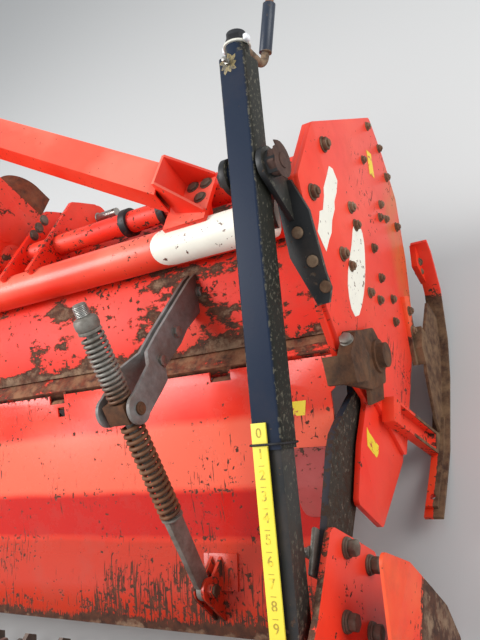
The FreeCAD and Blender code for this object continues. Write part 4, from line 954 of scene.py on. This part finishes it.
bracket_red = worn_paint("bracket_red", patches=0.14, chips=0.42, chip_size=60,
                         bare_where=edge_worn, dirt=0.15, rough=0.36, seed=26.0)
dress(bracket_red, "roller_brackets")
big_head = joined([round_bar(0.0205, 0, 0.005, 24, 0.0012),
                   round_bar(0.0190, 0.005, 0.009, 24, 0.0012),
                   round_bar(0.0172, 0.009, 0.024, 6, 0.0024)])
bracket_face, arm_face = 1242, 1206
roller_bolts = [(at(bracket_face, y, z), TO_RIGHT, 17.0 * i, 1.0)
                for i, (y, z) in enumerate(((-729, 437), (-725, 323), (-852, 409), (-842, 290)))]
old_bolt = rusty("old_bolt", (0.150, 0.110, 0.078), (0.075, 0.050, 0.036), (0.24, 0.24, 0.19),
                 0.9, 0.6, 0.1)
fasten(big_head, "roller_bracket_bolts", both_sides(roller_bolts), old_bolt, "roller_frame")
inner_bolt = [(at(arm_face, -761, 505), TO_LEFT, 8, 0.6)]
fasten(big_head, "arm_inner_bolts", both_sides(inner_bolt), plated, "roller_frame")

# A forged clevis sits over each arm's pivot, with a bright plated bolt and its washer on top
# of it.
clevis_bolt = [(at(1275, -365, 592), UPWARDS, 15, 1.0)]
fasten(head_model, "clevis_bolts", both_sides(clevis_bolt), plated)


# Skids: bent runners that the ground has worn to bare metal below, orange-red above, held
# by a slotted strap with two nuts in front and two more on the runner's slope.
def ground_worn(parts, facing):
    """Bare low down in front, and on the runner's outer edge behind."""
    front = times(ramp(parts[1], 0.15, 0.20), ramp(parts[2], 0.235, 0.175, 0.0, 0.5))
    outer = times(ramp(calc("ABSOLUTE", parts[0]), 1.2845, 1.2875, 0.0, 0.35),
                  ramp(parts[2], 0.235, 0.175))
    return times(calc("MAXIMUM", front, outer), ramp(parts[1], 0.610, 0.550))


skid_red = worn_paint("skid_red", RED, (0.90, 0.11, 0.030), (0.105, 0.048, 0.024),
                      (0.20, 0.115, 0.060), patches=0.28, chips=0.46, chip_size=70,
                      bare_where=ground_worn, dirt=0.40, rough=0.5, seed=23.0)
dress(skid_red, "skid_right", "skid_left")
slope_out = (0, -0.82, 0.57)
strap_nuts = [(at(1270, -36, 238), TO_RIGHT, 5, 1.0), (at(1270, -80, 208), TO_RIGHT, 33, 1.0),
              (at(1272, 178, 187), slope_out, 5, 1.0), (at(1268, 161, 163), slope_out, 33, 1.0)]
fasten(nut_model, "skid_nuts", both_sides(strap_nuts), nut_rust)

# Side deflectors and scraper: flat steel in orange-red paint, which is left on top and gone
# where the soil runs, so that the steel is bare and brown there.
deflector_red = worn_paint("deflector_red", RED, (0.90, 0.14, 0.04), patches=0.22, chips=0.40,
                           scratches=0.2, lines=(3, 2, 24), zones=((2, 0.31, 0.285, 0.28),),
                           dirt=0.35, rough=0.5, seed=31.0)
dress(deflector_red, "side_deflectors", "scraper_bar")

# The rest of the frame: boxes, plates and castings in the same red. The mast plates, the link
# brackets and the cross shaft's guard, with its two black clamping rings, are worn more.
# its faces that look up carry a painted highlight of the sky
frame_red = worn_paint("frame_red", patches=0.16, chips=0.32, soil_rub_and_sheen=looks_up, dirt=0.12,
                       rough=0.32, seed=20.0)
dress(frame_red, "stays", "stay_feet", "headstock", "gearbox", "roller_beam", "jack_lugs")
worn_red = worn_paint("worn_red", patches=0.50, patch_size=16, chips=0.50, dirt=0.35, rough=0.42,
                      seed=41.0)
dress(worn_red, "mast_plates", "lower_link_brackets")
ring_tints = [(0, x, 0.0112, 0.0004, (0.016, 0.016, 0.018), 1.0) for x in (0.651, 0.781)]
shaft_red = worn_paint("shaft_red", patches=0.66, patch_size=14, chips=0.58, dirt=0.4, rough=0.46,
                       seed=46.0, tints=ring_tints)
dress(shaft_red, "cross_shaft_tube")
low_head = joined([round_bar(0.0150, 0, 0.0018, 20, 0.0005),
                   round_bar(0.0124, 0.0018, 0.0058, 6, 0.0012)])
foot_top, link_face = 777.5, 265
foot_bolts = [(at(x, y, foot_top), UPWARDS, 21.0 * i, 1.15)
              for i, (x, y) in enumerate(((907, 36), (947, 35), (941, -12)))]
fasten(low_head, "stay_foot_bolts", both_sides(foot_bolts), old_bolt)
link_bolts = [(at(link_face, y, z), TO_RIGHT, 19.0 * i, 1.15)
              for i, (y, z) in enumerate(((172, 745), (136, 749), (101, 753)))]
fasten(low_head, "link_bracket_bolts", both_sides(link_bolts), old_bolt)
# bolts round the gearbox's lid, and its breather
LID_Z = 919
lid_spots = [(x, y) for x in (-100, 0, 100) for y in (30, 130, 230) if (x, y) != (0, 130)]
lid_bolts = [(at(x, y, LID_Z), UPWARDS, 11.0 * i, 0.8) for i, (x, y) in enumerate(lid_spots)]
fasten(head_model, "gearbox_lid_bolts", lid_bolts, old_bolt)
breather = [(at(45, 150, LID_Z), UPWARDS, 0, 1.2)]
fasten(pin_model, "gearbox_breather", breather, plated)

# Roller and rotor: soil keeps the turning steel half polished. The roller's journals get a
# little room in their bearings, so that they turn freely.
soil_steel = rusty("soil_steel", (0.20, 0.16, 0.13), (0.10, 0.075, 0.06), (0.26, 0.22, 0.19),
                   0.5, 0.6, 0.4)
dress(soil_steel, "roller", "rotor_shaft", "rotor_blades", edge=0)
roller = nodes["roller"]
roller_axis_y, roller_axis_z = -0.6575, 0.215
journal_from, journal_r = 1.2, 0.032
on_journal = [v.index for v in roller.data.vertices if abs(v.co.x) > journal_from
              and math.hypot(v.co.y - roller_axis_y, v.co.z - roller_axis_z) < journal_r]
roller.vertex_groups.new(name="journals").add(on_journal, 1.0, "REPLACE")
room = roller.modifiers.new("room", "DISPLACE")
room.vertex_group = "journals"
room.strength = -0.0003
room.mid_level = 0.0
after_weld = 1
roller.modifiers.move(len(roller.modifiers) - 1, after_weld)

for model in (nut_model, head_model, pin_model, nut_ring, nipple, pivot_nut, big_head, dome_model,
              low_head):
    bpy.data.objects.remove(model)
